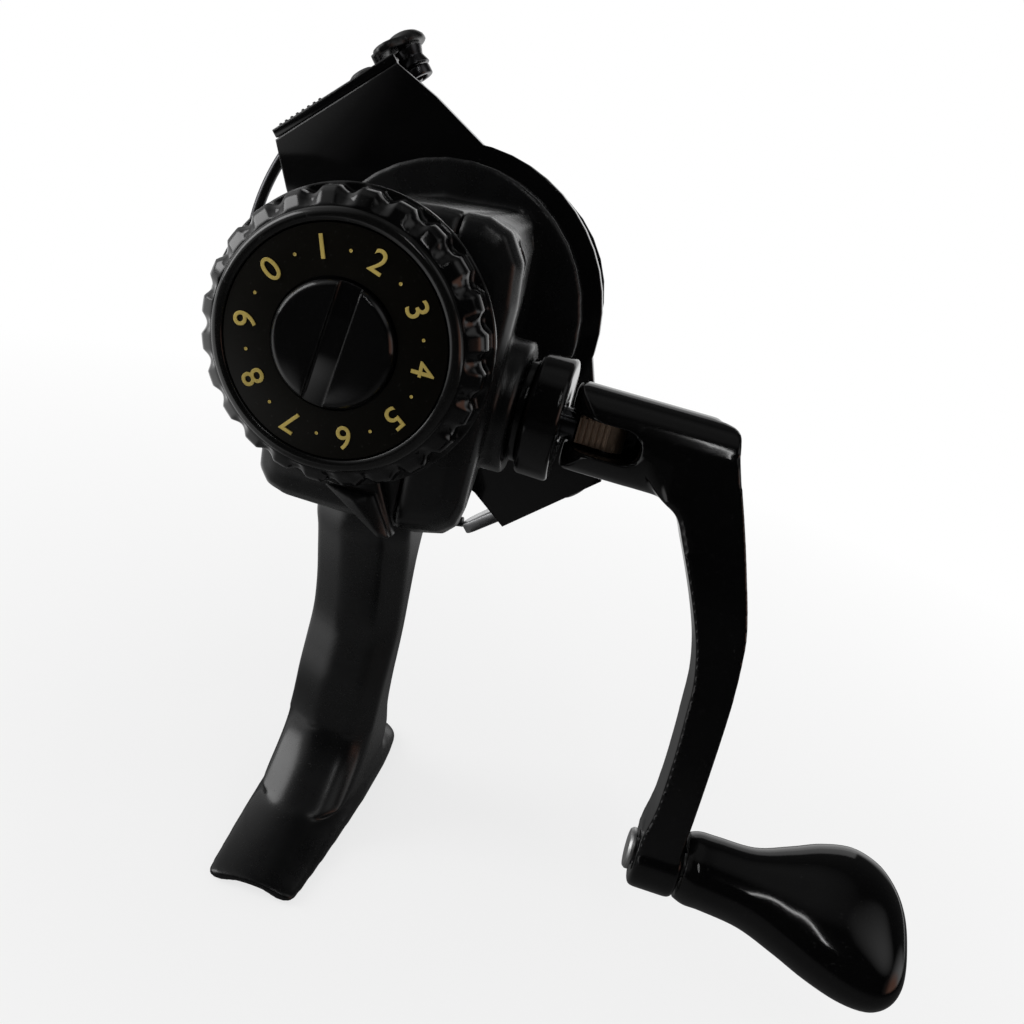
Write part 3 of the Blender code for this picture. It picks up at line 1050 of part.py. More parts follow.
def make_arm_cover(rotor_axis, screw_hole, screw_side, screw_depth):
    """The plate over the main arm's pocket, with its patch of ribs, and its screw."""
    base = MAIN_ARM_REACH + GAP
    top = base + ARM_COVER_THICKNESS
    depth = ARM_COVER_FRONT - ARM_COVER_REAR
    waist = ARM_HALF_WIDTH * ARM_COVER_WAIST_SHARES[0]
    waist_depth = ARM_COVER_REAR + depth * ARM_COVER_WAIST_SHARES[1]
    nose = PIVOT_BOSS_RADIUS * ARM_COVER_NOSE_SHARE
    outline = [(ARM_SHIFT - ARM_HALF_WIDTH, ARM_COVER_REAR), (ARM_SHIFT + ARM_HALF_WIDTH, ARM_COVER_REAR),
               (ARM_SHIFT + waist, waist_depth), (nose, ARM_COVER_FRONT), (-nose, ARM_COVER_FRONT),
               (ARM_SHIFT - waist, waist_depth)]
    cover = prism("bail_arm_cover", outline, base, top, rotor_axis, turn=FLAT, kind="gloss_black")
    first = ARM_SHIFT - ARM_HALF_WIDTH + 2 * RIB_WIDTH
    for index in range(RIB_COUNT):
        side = first + index * RIB_PITCH
        join(cover, box(f"cover_rib_{index}", (side, ARM_COVER_REAR + RIB_WIDTH, top - SINK),
                        (side + RIB_WIDTH, ARM_COVER_REAR + depth * RIB_LENGTH_SHARE, top + RIB_HEIGHT),
                        rotor_axis))
    cut(cover, screw_hole)
    head = top + GAP
    turned("arm_cover_screw", [
        (0, head + SMALL_SCREW_HEAD_HEIGHT),
        (SMALL_SCREW_HEAD * HEAD_CROWN_SHARE, head + SMALL_SCREW_HEAD_HEIGHT),
        (SMALL_SCREW_HEAD, head + SMALL_SCREW_HEAD_HEIGHT / 2), (SMALL_SCREW_HEAD, head),
        (SMALL_SCREW_RADIUS, head), (SMALL_SCREW_RADIUS, MAIN_ARM_REACH - POCKET_DEPTH + 2 * GAP),
        (0, MAIN_ARM_REACH - POCKET_DEPTH + 2 * GAP)], rotor_axis, (screw_side, screw_depth, 0), "Z", 12,
        "steel")


def make_bail_spring(rotor_axis, depth):
    """The coil spring in the main arm's pocket and the push rod that it sits round."""
    height = MAIN_ARM_REACH - POCKET_DEPTH / 2
    length = SPRING_CURLS * SPRING_PITCH
    start = -length / 2
    points = [(start - 2 * SPRING_WIRE - SPRING_WIRE, depth + SPRING_RADIUS, height)]
    points.append((start - SPRING_WIRE, depth + SPRING_RADIUS, height))
    for index in range(SPRING_CURLS * CURL_POINTS + 1):
        angle = math.tau * index / CURL_POINTS
        points.append((start + SPRING_PITCH * index / CURL_POINTS, depth + SPRING_RADIUS * math.cos(angle),
                       height + SPRING_RADIUS * math.sin(angle)))
    points.append((start + length + SPRING_WIRE, depth + SPRING_RADIUS, height))
    points.append((start + length + 3 * SPRING_WIRE, depth + SPRING_RADIUS, height))
    wire("bail_spring", points, SPRING_WIRE, rotor_axis, "steel", resolution=1)
    print("least gap between the bail spring's curls, m:", round(SPRING_PITCH - 2 * SPRING_WIRE, 6))
    rod("spring_push_rod", SPRING_RADIUS - SPRING_WIRE - GAP / 2, start, POCKET_HALF_WIDTH - GAP, rotor_axis,
        (0, depth, height), "X", 10, "steel")


def make_bail():
    """Bail arm with its domed end, pivot screws, roller, wire and the lever on the far side."""
    bail_axis = axis("bail_axis", main_axis, (0, BAIL_DEPTH, 0), (0, -ARM_TURN, 0))
    roller_place = (ROLLER_SIDE, ROLLER_AHEAD, 0)
    arm = rod("bail_arm", BAIL_PLATE_RADIUS, BAIL_PLATE_BASE, BAIL_PLATE_TOP, bail_axis, along="Z", steps=24,
              kind="gloss_black")
    web_inner = PIVOT_HEAD_RADIUS + GAP
    web_outer = ROLLER_SIDE - ROLLER_RADIUS - GAP
    web = box("bail_web", (web_inner, -BAIL_WEB_HALF, BAIL_PLATE_BASE + SINK),
              (web_outer, BAIL_WEB_HALF + ROLLER_AHEAD / 2, DOME_BASE + SINK), bail_axis)
    shoulder_radius = BAIL_WEB_HALF * SHOULDER_SHARE
    shoulder = prism("bail_shoulder", capsule((web_inner + shoulder_radius, 0), shoulder_radius,
                                              (ROLLER_SIDE, ROLLER_AHEAD), DOME_RADIUS * SHOULDER_SHARE),
                     DOME_BASE, (DOME_BASE + DOME_TOP) / 2, bail_axis, turn=FLAT)
    dome_curve = [(DOME_RADIUS * wide, DOME_TOP - DOME_RISE * drop) for wide, drop in DOME_SHARES]
    dome = turned("bail_dome", [(0, DOME_TOP), *dome_curve, (DOME_RADIUS, DOME_BASE), (0, DOME_BASE)],
                  bail_axis,
                  roller_place, "Z", 24)
    pin_top = DOME_BASE + DOME_RISE / 2
    pivot_bore = rod("bail_pivot_bore", PIVOT_BORE, BAIL_PLATE_BASE - OVERRUN, BAIL_PLATE_TOP + OVERRUN,
                     bail_axis, along="Z")
    pin_bore = rod("roller_pin_bore", PIVOT_SHANK_RADIUS + GAP, DOME_BASE - OVERRUN, pin_top + GAP, bail_axis,
                   roller_place, "Z", 12)
    join(arm, web, shoulder, dome)
    cut(arm, pivot_bore, pin_bore)
    head = BAIL_PLATE_TOP + GAP
    shank_end = MAIN_ARM_REACH - MAIN_ARM_WALL + GAP
    head_curve = [(PIVOT_HEAD_RADIUS * wide, PIVOT_HEAD_HEIGHT * high) for wide, high in PIVOT_HEAD_SHARES]
    turned("bail_pivot_screw", [
        (0, head + PIVOT_HEAD_HEIGHT), *[(wide, head + high) for wide, high in head_curve],
        (PIVOT_HEAD_RADIUS, head), (PIVOT_SHANK_RADIUS, head), (PIVOT_SHANK_RADIUS, shank_end),
        (0, shank_end)],
        bail_axis, along="Z", steps=20, kind="gloss_black")
    roller_axis = axis("roller_axis", bail_axis, roller_place)
    roller_top = ROLLER_BASE + ROLLER_LENGTH
    waist = ROLLER_BASE + ROLLER_LENGTH / 2
    turned("line_roller", [
        (PIVOT_SHANK_RADIUS + GAP, roller_top), (ROLLER_RADIUS, roller_top), (ROLLER_WAIST, waist),
        (ROLLER_RADIUS, ROLLER_BASE), (PIVOT_SHANK_RADIUS + GAP, ROLLER_BASE)], roller_axis, along="Z",
        steps=24, kind="steel")
    boss_top = ROLLER_BASE - GAP
    boss_base = BAIL_PLATE_BASE
    rod("roller_pin", PIVOT_SHANK_RADIUS, boss_base + SINK, pin_top, bail_axis, roller_place, "Z", 12,
        "steel")
    make_bail_wire(bail_axis, roller_place, boss_base, boss_top)
    lever_top = FAR_ARM_REACH + GAP
    end = wire_point(WIRE_END)
    lever = prism("bail_lever", capsule((0, 0), PIVOT_BOSS_RADIUS, end[:2], FAR_LEVER_TIP_RADIUS),
                  -lever_top - FAR_LEVER_THICKNESS, -lever_top, bail_axis, turn=FLAT, kind="gloss_black")
    cut(lever, rod("lever_pivot_bore", PIVOT_BORE, -lever_top - 2 * FAR_LEVER_THICKNESS, -FAR_ARM_REACH,
                   bail_axis, along="Z"))
    head = lever_top + FAR_LEVER_THICKNESS + GAP
    turned("bail_lever_screw", [
        (0, -head - PIVOT_HEAD_HEIGHT), *[(wide, -head - high) for wide, high in head_curve],
        (PIVOT_HEAD_RADIUS, -head), (PIVOT_SHANK_RADIUS, -head),
        (PIVOT_SHANK_RADIUS, FAR_ARM_WALL - FAR_ARM_REACH - GAP),
        (0, FAR_ARM_WALL - FAR_ARM_REACH - GAP)], bail_axis, along="Z", steps=20, kind="steel")


def wire_point(angle):
    """A point of the bail wire, by its angle round the spool from the main arm."""
    lever_middle = FAR_ARM_REACH + GAP + FAR_LEVER_THICKNESS / 2
    reach = WIRE_REACH if angle < math.pi / 2 else -lever_middle / math.cos(WIRE_END)
    across = WIRE_SPREAD * math.sin(angle)
    lift = WIRE_LIFT * max(0, 1 - angle / WIRE_LIFT_ANGLE) ** 2
    return (-across, WIRE_AHEAD + lift + across * math.tan(WIRE_TILT), reach * math.cos(angle))


def make_bail_wire(bail_axis, roller_place, boss_base, boss_top):
    """The wire from its boss under the roller round the spool to the far lever."""
    middle = (boss_base + boss_top) / 2
    points = [(ROLLER_SIDE, ROLLER_AHEAD, middle),
              (ROLLER_SIDE - WIRE_BOSS_RADIUS / 2, ROLLER_AHEAD + WIRE_BOSS_RADIUS / 2 + WIRE_RADIUS, middle),
              (ROLLER_SIDE * WIRE_BEND_SHARE, WIRE_LIFT, middle + WIRE_RADIUS)]
    last = WIRE_END - (FAR_LEVER_TIP_RADIUS + 2 * GAP) / WIRE_REACH
    for index in range(WIRE_POINTS):
        points.append(wire_point(WIRE_START + (last - WIRE_START) * index / (WIRE_POINTS - 1)))
    bail_wire = wire("bail_wire", points, WIRE_RADIUS, bail_axis, "steel")
    join(bail_wire, rod("wire_boss", WIRE_BOSS_RADIUS, boss_base, boss_top, bail_axis, roller_place, "Z", 20))
    cut(bail_wire, rod("wire_boss_bore", PIVOT_SHANK_RADIUS + GAP, boss_base - OVERRUN, boss_top + OVERRUN,
                       bail_axis, roller_place, "Z", 12))


def make_spool():
    """The skirted spool, the washer under it and the button in its front."""
    spool_axis = axis("spool_axis", main_axis, (0, 0, 0))
    flange = SKIRT_REAR + SKIRT_LENGTH
    drum_rear = flange + SKIRT_WALL
    lip_rear = SPOOL_FRONT - LIP_THICKNESS
    pocket = BUTTON_RADIUS + GAP
    pocket_floor = SHAFT_FRONT + GAP
    inner_front = lip_rear - SKIRT_WALL
    hub = SPOOL_HUB_RADIUS
    turned("spool", [
        (SHAFT_BORE, pocket_floor), (pocket, pocket_floor), (pocket, SPOOL_FRONT),
        (LIP_RADIUS * LIP_BEVEL_SHARE, SPOOL_FRONT), (LIP_RADIUS, SPOOL_FRONT - SKIRT_WALL),
        (LIP_RADIUS, lip_rear + SKIRT_WALL), (DRUM_RADIUS, lip_rear), (DRUM_RADIUS, drum_rear + SKIRT_WALL),
        (SKIRT_RADIUS * SKIRT_BEVEL_SHARE, drum_rear), (SKIRT_RADIUS, flange), (SKIRT_RADIUS, SKIRT_REAR),
        (SKIRT_RADIUS - SKIRT_WALL, SKIRT_REAR), (SKIRT_RADIUS - SKIRT_WALL, flange - SKIRT_WALL / 2),
        (DRUM_RADIUS - SKIRT_WALL, flange), (DRUM_RADIUS - SKIRT_WALL, inner_front), (hub, inner_front),
        (hub, SPOOL_HUB_REAR), (SHAFT_BORE, SPOOL_HUB_REAR)], spool_axis, steps=36, kind="gloss_black")
    ring("spool_washer", SHAFT_BORE, SPOOL_WASHER_RADIUS, SPOOL_HUB_REAR - GAP - WASHER_THICKNESS,
         SPOOL_HUB_REAR - GAP, spool_axis, steps=20, kind="brass")
    button_rear = pocket_floor + BUTTON_TRAVEL + 2 * GAP
    turned("spool_button", [
        (0, button_rear), (BUTTON_RADIUS, button_rear),
        (BUTTON_RADIUS, button_rear + BUTTON_LENGTH * BUTTON_EDGE_SHARE),
        (BUTTON_RADIUS * BUTTON_EDGE_SHARE, button_rear + BUTTON_LENGTH), (0, button_rear + BUTTON_LENGTH)],
        spool_axis, steps=24, kind="satin_black")


def make_crank():
    """Lock collar, fold stud, fold pin, crank sleeve with its elbow and arm, grip pin and grip."""
    crank_axis = axis("crank_axis", main_axis, (0, CRANK_DEPTH, -CRANK_DROP))
    lock_bore = STUD_NECK_RADIUS + GAP
    turned("lock_collar", [
        (lock_bore, LOCK_END), (LOCK_RADIUS - CAP_BEVEL, LOCK_END), (LOCK_RADIUS, LOCK_END - CAP_BEVEL),
        (LOCK_RADIUS, LOCK_START + CAP_BEVEL), (LOCK_RADIUS - CAP_BEVEL, LOCK_START),
        (lock_bore, LOCK_START)],
        crank_axis, along="X", steps=30, kind="gloss_black")
    make_stud(crank_axis)
    sleeve_axis = axis("fold_axis", crank_axis, (FOLD_X, 0, 0))
    back = -FOLD_X
    sleeve = rod("crank_arm", SLEEVE_RADIUS, SLEEVE_START, SLEEVE_END, sleeve_axis, (back, 0, 0), "X", 32,
                 "gloss_black")
    outline = [(across * TIP_OUTER, -down * CRANK_LENGTH) for across, down in ARM_SHARES]
    tilted = axis("arm_frame", sleeve_axis, (back, 0, 0), (-CRANK_TILT, 0, 0))
    arm = prism("arm_blank", outline, -SLEEVE_RADIUS - OVERRUN, SLEEVE_RADIUS + OVERRUN, tilted)
    side_view = capsule((0, 0), SLEEVE_RADIUS, (0, -CRANK_LENGTH), ARM_END_RADIUS, 13)
    keep(arm, prism("arm_side", side_view, SLEEVE_START, TIP_OUTER + OVERRUN, tilted, turn=SIDEWAYS))
    tip = rod("arm_tip", TIP_RADIUS, TIP_INNER, TIP_OUTER, tilted, (0, 0, -CRANK_LENGTH), "X", 32)
    join(sleeve, arm, tip)
    slot = box("fold_slot", (SLEEVE_START - OVERRUN, -SLEEVE_RADIUS - OVERRUN, -SLOT_HALF_HEIGHT),
               (SLOT_END - SLOT_HALF_HEIGHT / 2, SLOT_BEHIND, SLOT_HALF_HEIGHT), sleeve_axis, (back, 0, 0))
    slot_end = rod("slot_end", SLOT_HALF_HEIGHT, -SLEEVE_RADIUS - OVERRUN, SLOT_BEHIND, sleeve_axis,
                   (back + SLOT_END - SLOT_HALF_HEIGHT, 0, 0), "Y", 24)
    corner = SLEEVE_RADIUS + OVERRUN
    rounding = [*arc((0, 0), SLEEVE_RADIUS - GAP, math.pi, math.pi * 3 / 2, 9), (0, -2 * corner),
                (-2 * corner, -2 * corner), (-2 * corner, 0)]
    relief = prism("sleeve_relief", rounding, -corner, corner, sleeve_axis, turn=FLAT)
    pin_bore = rod("fold_pin_bore", FOLD_PIN_RADIUS + GAP, -corner, corner, sleeve_axis, along="Z")
    grip_bore = rod("grip_pin_bore", GRIP_PIN_RADIUS + GAP, TIP_INNER - OVERRUN, TIP_OUTER + OVERRUN, tilted,
                    (0, 0, -CRANK_LENGTH), "X", 16)
    collar_relief = box("collar_relief", (SLEEVE_START, -2 * SLEEVE_RADIUS, -LOCK_RADIUS - GAP),
                        (FOLD_X + LOCK_RADIUS + 2 * GAP, LOCK_END + GAP - FOLD_X, LOCK_RADIUS + GAP),
                        sleeve_axis,
                        (back, 0, 0))
    cut(sleeve, slot, slot_end, relief, pin_bore, grip_bore, collar_relief)
    pin_half = math.sqrt(SLEEVE_RADIUS ** 2 - FOLD_PIN_RADIUS ** 2) - GAP
    rod("fold_pin", FOLD_PIN_RADIUS, -pin_half, pin_half, sleeve_axis, along="Z", steps=12, kind="steel")
    make_grip(sleeve_axis, back)


def make_stud(crank_axis):
    """The flat eye of the fold stud with its ribs, its round neck, and the ring round the neck."""
    tang_start = LOCK_END + GAP + STUD_HALF_THICKNESS
    eye = capsule((tang_start - FOLD_X, 0), STUD_HALF_THICKNESS, (0, 0), STUD_EYE_RADIUS, 9)
    start = COLLAR_END + GAP
    fold_place = (FOLD_X, 0, 0)
    stud = rod("fold_stud", STUD_NECK_RADIUS, start, tang_start, crank_axis, along="X", steps=20,
               kind="brass")
    tang = prism("stud_tang", eye, -STUD_HALF_THICKNESS, STUD_HALF_THICKNESS, crank_axis, fold_place, FLAT)
    bore = rod("stud_eye_bore", FOLD_PIN_RADIUS + GAP, -SLEEVE_RADIUS, SLEEVE_RADIUS, crank_axis,
               fold_place, "Z")
    join(stud, tang)
    rib_half = STUD_HALF_THICKNESS - GAP / 2
    for index in range(STUD_RIBS):
        right = -index * STUD_RIB_PITCH
        join(stud,
             box(f"stud_rib_{index}", (right - STUD_RIB_WIDTH, -STUD_EYE_RADIUS - STUD_RIB_HEIGHT, -rib_half),
                       (right, -STUD_HALF_THICKNESS + SINK, rib_half), crank_axis, fold_place))
    cut(stud, bore)
    ring("neck_ring", STUD_NECK_RADIUS + GAP, NECK_RING_RADIUS, start, LOCK_START - GAP, crank_axis,
         along="X",
         steps=32, kind="gloss_black")


def make_grip(sleeve_axis, back):
    """The pin through the arm's tip and the paddle grip that turns on it."""
    tilted = axis("grip_frame", sleeve_axis, (back, 0, 0), (-CRANK_TILT, 0, 0))
    grip_axis = axis("grip_axis", tilted, (0, 0, -CRANK_LENGTH))
    head = TIP_INNER - GAP
    pin_end = GRIP_START + GRIP_LENGTH / 2
    turned("grip_pin", [
        (0, head - GRIP_PIN_PROUD), (GRIP_PIN_HEAD * GRIP_PIN_SHARES[0], head - GRIP_PIN_PROUD),
        (GRIP_PIN_HEAD, head - GRIP_PIN_PROUD * GRIP_PIN_SHARES[1]), (GRIP_PIN_HEAD, head),
        (GRIP_PIN_RADIUS, head), (GRIP_PIN_RADIUS, pin_end), (0, pin_end)], grip_axis, along="X", steps=24,
        kind="grey")
    sections = []
    for along, middle, wide, thick in GRIP_SHARES:
        section = []
        for index in range(20):
            angle = math.tau * index / 20
            across = math.copysign(abs(math.cos(angle)) ** GRIP_ROUNDNESS, math.cos(angle))
            up = math.copysign(abs(math.sin(angle)) ** GRIP_ROUNDNESS, math.sin(angle))
            section.append((GRIP_START + along * GRIP_LENGTH, GRIP_HALF_THICKNESS * thick * up,
                            GRIP_HALF_WIDTH * (wide * across - middle)))
        sections.append(section)
    grip = loft("grip", sections, grip_axis, turn=(GRIP_TURN, 0, 0), kind="gloss_black")
    cut(grip,
        rod("grip_bore", GRIP_PIN_RADIUS + GAP, GRIP_START - OVERRUN, pin_end + GAP, grip_axis, along="X"))


make_drag_knob()
make_drag()
make_body()
make_cover()
make_gears()
make_slider()
make_anti_reverse()
make_rotor()
make_bail()
make_spool()
make_crank()
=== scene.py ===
"""The looks of a spinning reel with a rear drag knob and a folding crank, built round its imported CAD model.

Everything is in metres in the model's own frame: +Y runs from the drag knob to the spool, +X is the crank's
side, +Z is up, and the foot's sole is at nought.
"""
import json
import math

import bmesh
import bpy
from mathutils import Matrix, Vector

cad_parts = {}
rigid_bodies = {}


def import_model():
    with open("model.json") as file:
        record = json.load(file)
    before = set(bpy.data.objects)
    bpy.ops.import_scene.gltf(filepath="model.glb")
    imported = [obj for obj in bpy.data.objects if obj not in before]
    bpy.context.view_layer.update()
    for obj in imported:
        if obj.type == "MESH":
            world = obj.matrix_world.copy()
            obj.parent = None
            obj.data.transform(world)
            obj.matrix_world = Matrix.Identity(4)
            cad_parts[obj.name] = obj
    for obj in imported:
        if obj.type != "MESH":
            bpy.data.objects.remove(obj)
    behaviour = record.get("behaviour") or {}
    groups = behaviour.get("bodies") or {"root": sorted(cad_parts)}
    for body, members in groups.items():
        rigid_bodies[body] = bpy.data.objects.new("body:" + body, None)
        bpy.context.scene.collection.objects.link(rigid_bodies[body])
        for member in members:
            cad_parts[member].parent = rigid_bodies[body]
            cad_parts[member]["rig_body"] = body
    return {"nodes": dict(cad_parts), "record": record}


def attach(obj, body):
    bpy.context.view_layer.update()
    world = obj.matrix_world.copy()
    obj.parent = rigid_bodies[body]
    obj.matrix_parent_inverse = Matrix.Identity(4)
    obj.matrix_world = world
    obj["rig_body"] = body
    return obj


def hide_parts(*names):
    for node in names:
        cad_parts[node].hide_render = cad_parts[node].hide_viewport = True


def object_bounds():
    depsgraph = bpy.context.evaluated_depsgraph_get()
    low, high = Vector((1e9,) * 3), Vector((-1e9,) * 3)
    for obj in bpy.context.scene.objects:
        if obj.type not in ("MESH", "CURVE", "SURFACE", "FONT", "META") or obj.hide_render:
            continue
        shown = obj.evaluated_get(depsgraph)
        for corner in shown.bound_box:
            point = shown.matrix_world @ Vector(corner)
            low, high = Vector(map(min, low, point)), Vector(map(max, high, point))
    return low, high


bl_info = {
    "name": "Spinning reel",
    "version": (1, 0, 0),
    "blender": (4, 5, 0),
    "location": "View3D > Sidebar > Reel",
    "description": "Dresses the CAD model of a spinning reel with finer pieces and materials",
    "category": "Object",
}

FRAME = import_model()
CAD_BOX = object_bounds()
SLOTS = {part["node"]: part["material_slot"] for part in FRAME["record"]["subparts"]}

# Sizes that the pieces share with the CAD model
AXIS_HEIGHT = 0.0835        # main axis above the foot's sole
BODY_LENGTH = 0.0475        # stem and foot rows are shares of it
CRANK_LENGTH = 0.0542       # crank axis to grip axis
SLEEVE_START = 0.02606      # inner end of the crank's sleeve, along the crank axis
SLEEVE_RADIUS = 0.0061
FOLD_PLACE = 0.0318         # fold pin, along the crank axis
COLLAR_END = 0.0253         # outer face of the lock collar, along the crank axis
RUNNING_GAP = 0.0003
ARM_END = 0.0578            # outer face of the crank arm


def spin(degrees, axis):
    """A turn about an axis."""
    return Matrix.Rotation(math.radians(degrees), 4, axis)


# Frames of the reel's pieces
KNOB_FRAME = Matrix.Translation((0, -0.0360, AXIS_HEIGHT))
ROTOR_FRAME = KNOB_FRAME @ spin(-42, "Y")
BAIL_FRAME = ROTOR_FRAME @ Matrix.Translation((0, 0.0740, 0))
CRANK_FRAME = KNOB_FRAME @ Matrix.Translation((0, 0.0248, -0.0067))
ARM_FRAME = CRANK_FRAME @ Matrix.Rotation(-0.20, 4, "X")
TIP_FRAME = ARM_FRAME @ Matrix.Translation((0, 0, -CRANK_LENGTH))
GRIP_FRAME = TIP_FRAME @ spin(-50, "X")
UNMOVED = Matrix.Identity(4)

# Turns that lay a turned shape's axis along X, Y or Z
ALONG = {"X": spin(90, "Y"), "Y": spin(-90, "X"), "Z": UNMOVED}


# Sizes and colours a user would change

def length_setting(name, description, default):
    """A length in the panel."""
    return bpy.props.FloatProperty(name=name, description=description, default=default, min=0, unit="LENGTH")


def colour_setting(name, description, default):
    """A colour in the panel."""
    return bpy.props.FloatVectorProperty(name=name, description=description, default=default, min=0, max=1,
                                         subtype="COLOR", size=3)


class ReelSizes(bpy.types.PropertyGroup):
    edge: length_setting("Edge radius", "Rounding of the rotor's edges", 0.00030)
    flutes: bpy.props.IntProperty(name="Knob flutes", description="Scoops round the drag knob's rim",
                                  default=24, min=6)
    flute_depth: length_setting("Flute depth", "Depth of the knob's scoops", 0.0007)
    digit_height: length_setting("Digit height", "Height of the dial's numbers", 0.0027)
    dial_numbers: bpy.props.IntProperty(name="Dial numbers", description="How many numbers the dial shows",
                                        default=10, min=1, max=10)
    wire: length_setting("Bail wire", "Radius of the bail's wire", 0.0010)


class ReelColours(bpy.types.PropertyGroup):
    gloss: colour_setting("Gloss black", "Glossy mouldings", (0.0016, 0.0016, 0.0017))
    satin: colour_setting("Satin black", "Painted castings", (0.0030, 0.0031, 0.0033))
    dial: colour_setting("Dial", "Face of the drag dial", (0.0022, 0.0018, 0.0009))
    gilt: colour_setting("Gilt", "Numbers of the dial", (0.36, 0.27, 0.060))
    copper: colour_setting("Copper", "Stud that the crank folds on", (0.80, 0.58, 0.43))


class StageSettings(bpy.types.PropertyGroup):
    floor: colour_setting("Floor", "Colour of the floor", (0.93, 0.93, 0.93))
    lens: bpy.props.FloatProperty(name="Lens", description="Focal length of the camera", default=34.4,
                                  subtype="DISTANCE_CAMERA")


# Nodes and shader sums

def add_node(tree, kind, settings, values):
    """Add a node to a tree, set it, and feed its sockets with other sockets or with plain values."""
    node = tree.nodes.new(kind)
    for key, value in settings.items():
        setattr(node, key, value)
    for key, value in values.items():
        if isinstance(value, bpy.types.NodeSocket):
            tree.links.new(value, node.inputs[key])
        else:
            node.inputs[key].default_value = value
    return node


class Flow:
    """A socket's value that can be used in sums."""

    def __init__(self, look, socket):
        self.look = look
        self.socket = socket

    def _sum(self, operation, first, second):
        return self.look.node("ShaderNodeMath", {"operation": operation}, {0: first, 1: second})

    def __add__(self, other):
        return self._sum("ADD", self, other)

    def __rsub__(self, other):
        return self._sum("SUBTRACT", other, self)

    def __mul__(self, other):
        return self._sum("MULTIPLY", self, other)

    def held(self):
        """The value kept between nought and one."""
        return self.look.node("ShaderNodeClamp", {}, {0: self})


class Look:
    """A material or world under construction."""

    def __init__(self, owner):
        owner.use_nodes = True
        self.tree = owner.node_tree
        self.tree.nodes.clear()

    def node(self, kind, settings, values, output=0):
        """Add a node fed by flows or plain values, and give one of its outputs as a flow."""
        fed = {key: value.socket if isinstance(value, Flow) else value for key, value in values.items()}
        return Flow(self, add_node(self.tree, kind, settings, fed).outputs[output])

    def spot(self):
        """Where a point lies in its object's own coordinates."""
        return self.node("ShaderNodeTexCoord", {}, {}, "Object")

    def ray(self, kind):
        """One for rays of that kind, nought for the others."""
        return self.node("ShaderNodeLightPath", {}, {}, f"Is {kind} Ray")

    def blend(self, factor, first, second):
        """A colour between two colours."""
        colours = [value if isinstance(value, Flow) else (*value, 1) for value in (first, second)]
        return self.node("ShaderNodeMix", {"data_type": "RGBA"}, {0: factor, 6: colours[0], 7: colours[1]}, 2)

    def mixed(self, factor, first, second):
        """A shader between two shaders."""
        return self.node("ShaderNodeMixShader", {}, {0: factor, 1: first, 2: second})

    def along(self, way, aim):
        """How far a direction or a place runs along another direction."""
        return self.node("ShaderNodeVectorMath", {"operation": "DOT_PRODUCT"}, {0: way, 1: aim}, "Value")

    def noise(self, place, scale, detail=3.0, rough=0.55):
        """A cloudy pattern about one half."""
        return self.node("ShaderNodeTexNoise", {}, {"Vector": place, "Scale": scale, "Detail": detail,
                                                    "Roughness": rough}, "Fac")

    def spread(self, value, low, high):
        """Stretch what lies between low and high to nought and one."""
        return self.node("ShaderNodeMapRange", {}, {0: value, 1: low, 2: high})

    def bump(self, height, strength, **base):
        """A normal with fine relief, a tenth of a millimetre at full strength."""
        return self.node("ShaderNodeBump", {}, {"Strength": strength, "Distance": 0.0001, "Height": height, **base})

    def end(self, kind, shader):
        """Join the shader to an output node of that kind."""
        output = self.tree.nodes.new(kind)
        self.tree.links.new(shader.socket, output.inputs[0])


def rounded_normal(look, radius):
    """The normal with edges softened, and how close a point is to an edge."""
    soft = look.node("ShaderNodeBevel", {"samples": 4}, {"Radius": radius})
    plain = look.node("ShaderNodeNewGeometry", {}, {}, "Normal")
    edge = look.spread(1 - look.along(soft, plain), 0.015, 0.22)
    return soft, edge


def scaled(colour, share):
    """The colour made darker or lighter."""
    return tuple(min(1, share * part) for part in colour)


def moulding(look, colour, rough, varied, peel, edge_radius, grain, edge_wear_and_highlight, specular, tint):
    """A dark moulded or painted finish with smears, fine orange peel, dust, and edges painted lighter, partly as wear
    and partly as a painted highlight.
    """
    place = look.spot()
    smear = look.noise(place, 95.0, 5.0, 0.62)
    dust = look.spread(look.noise(place, 2600.0, 2.0, 0.5), 0.66, 0.78)
    relief = look.noise(place, grain, 3.0, 0.5)
    soft, edge = rounded_normal(look, edge_radius)
    # Edges take the lighter tint here: partly wear, partly a painted highlight along them.
    worn_and_highlit_edges = (edge * look.spread(look.noise(place, 420.0, 4.0, 0.6), 0.42, 0.66) * edge_wear_and_highlight).held()
    shade = look.blend(look.spread(smear, 0.25, 0.75), colour, scaled(colour, 1.8))
    shade = look.blend(worn_and_highlit_edges, shade, tint)
    shade = look.blend(dust * 0.12, shade, (0.10, 0.10, 0.10))
    roughness = (look.spread(smear, 0.2, 0.8) * varied + worn_and_highlit_edges * 0.15 + dust * 0.1 + (rough - varied / 2)).held()
    return look.node("ShaderNodeBsdfPrincipled", {}, {
        "Base Color": shade, "Roughness": roughness, "Normal": look.bump(relief, peel, Normal=soft),
        "Specular IOR Level": specular})


def metal(look, colour, rough, varied, grain, streaks):
    """A bare metal with brushed or turned streaks, stains, and edges painted brighter, partly as wear and partly as a
    painted highlight.
    """
    place = look.spot()
    lines = look.noise(place, grain, 3.0, 0.6)
    stain = look.noise(place, 160.0, 4.0, 0.6)
    soft, edge = rounded_normal(look, 0.0001)
    shade = look.blend(look.spread(stain, 0.35, 0.8), colour, scaled(colour, 0.62))
    # Painted highlight and wear: the metal is made lighter near its edges.
    shade = look.blend((edge * 0.5).held(), shade, scaled(colour, 1.25))
    roughness = (look.spread(stain, 0.3, 0.75) * varied + (rough - varied / 2)).held()
    return look.node("ShaderNodeBsdfPrincipled", {}, {
        "Base Color": shade, "Roughness": roughness, "Metallic": 1.0,
        "Normal": look.bump(lines, streaks, Normal=soft)})


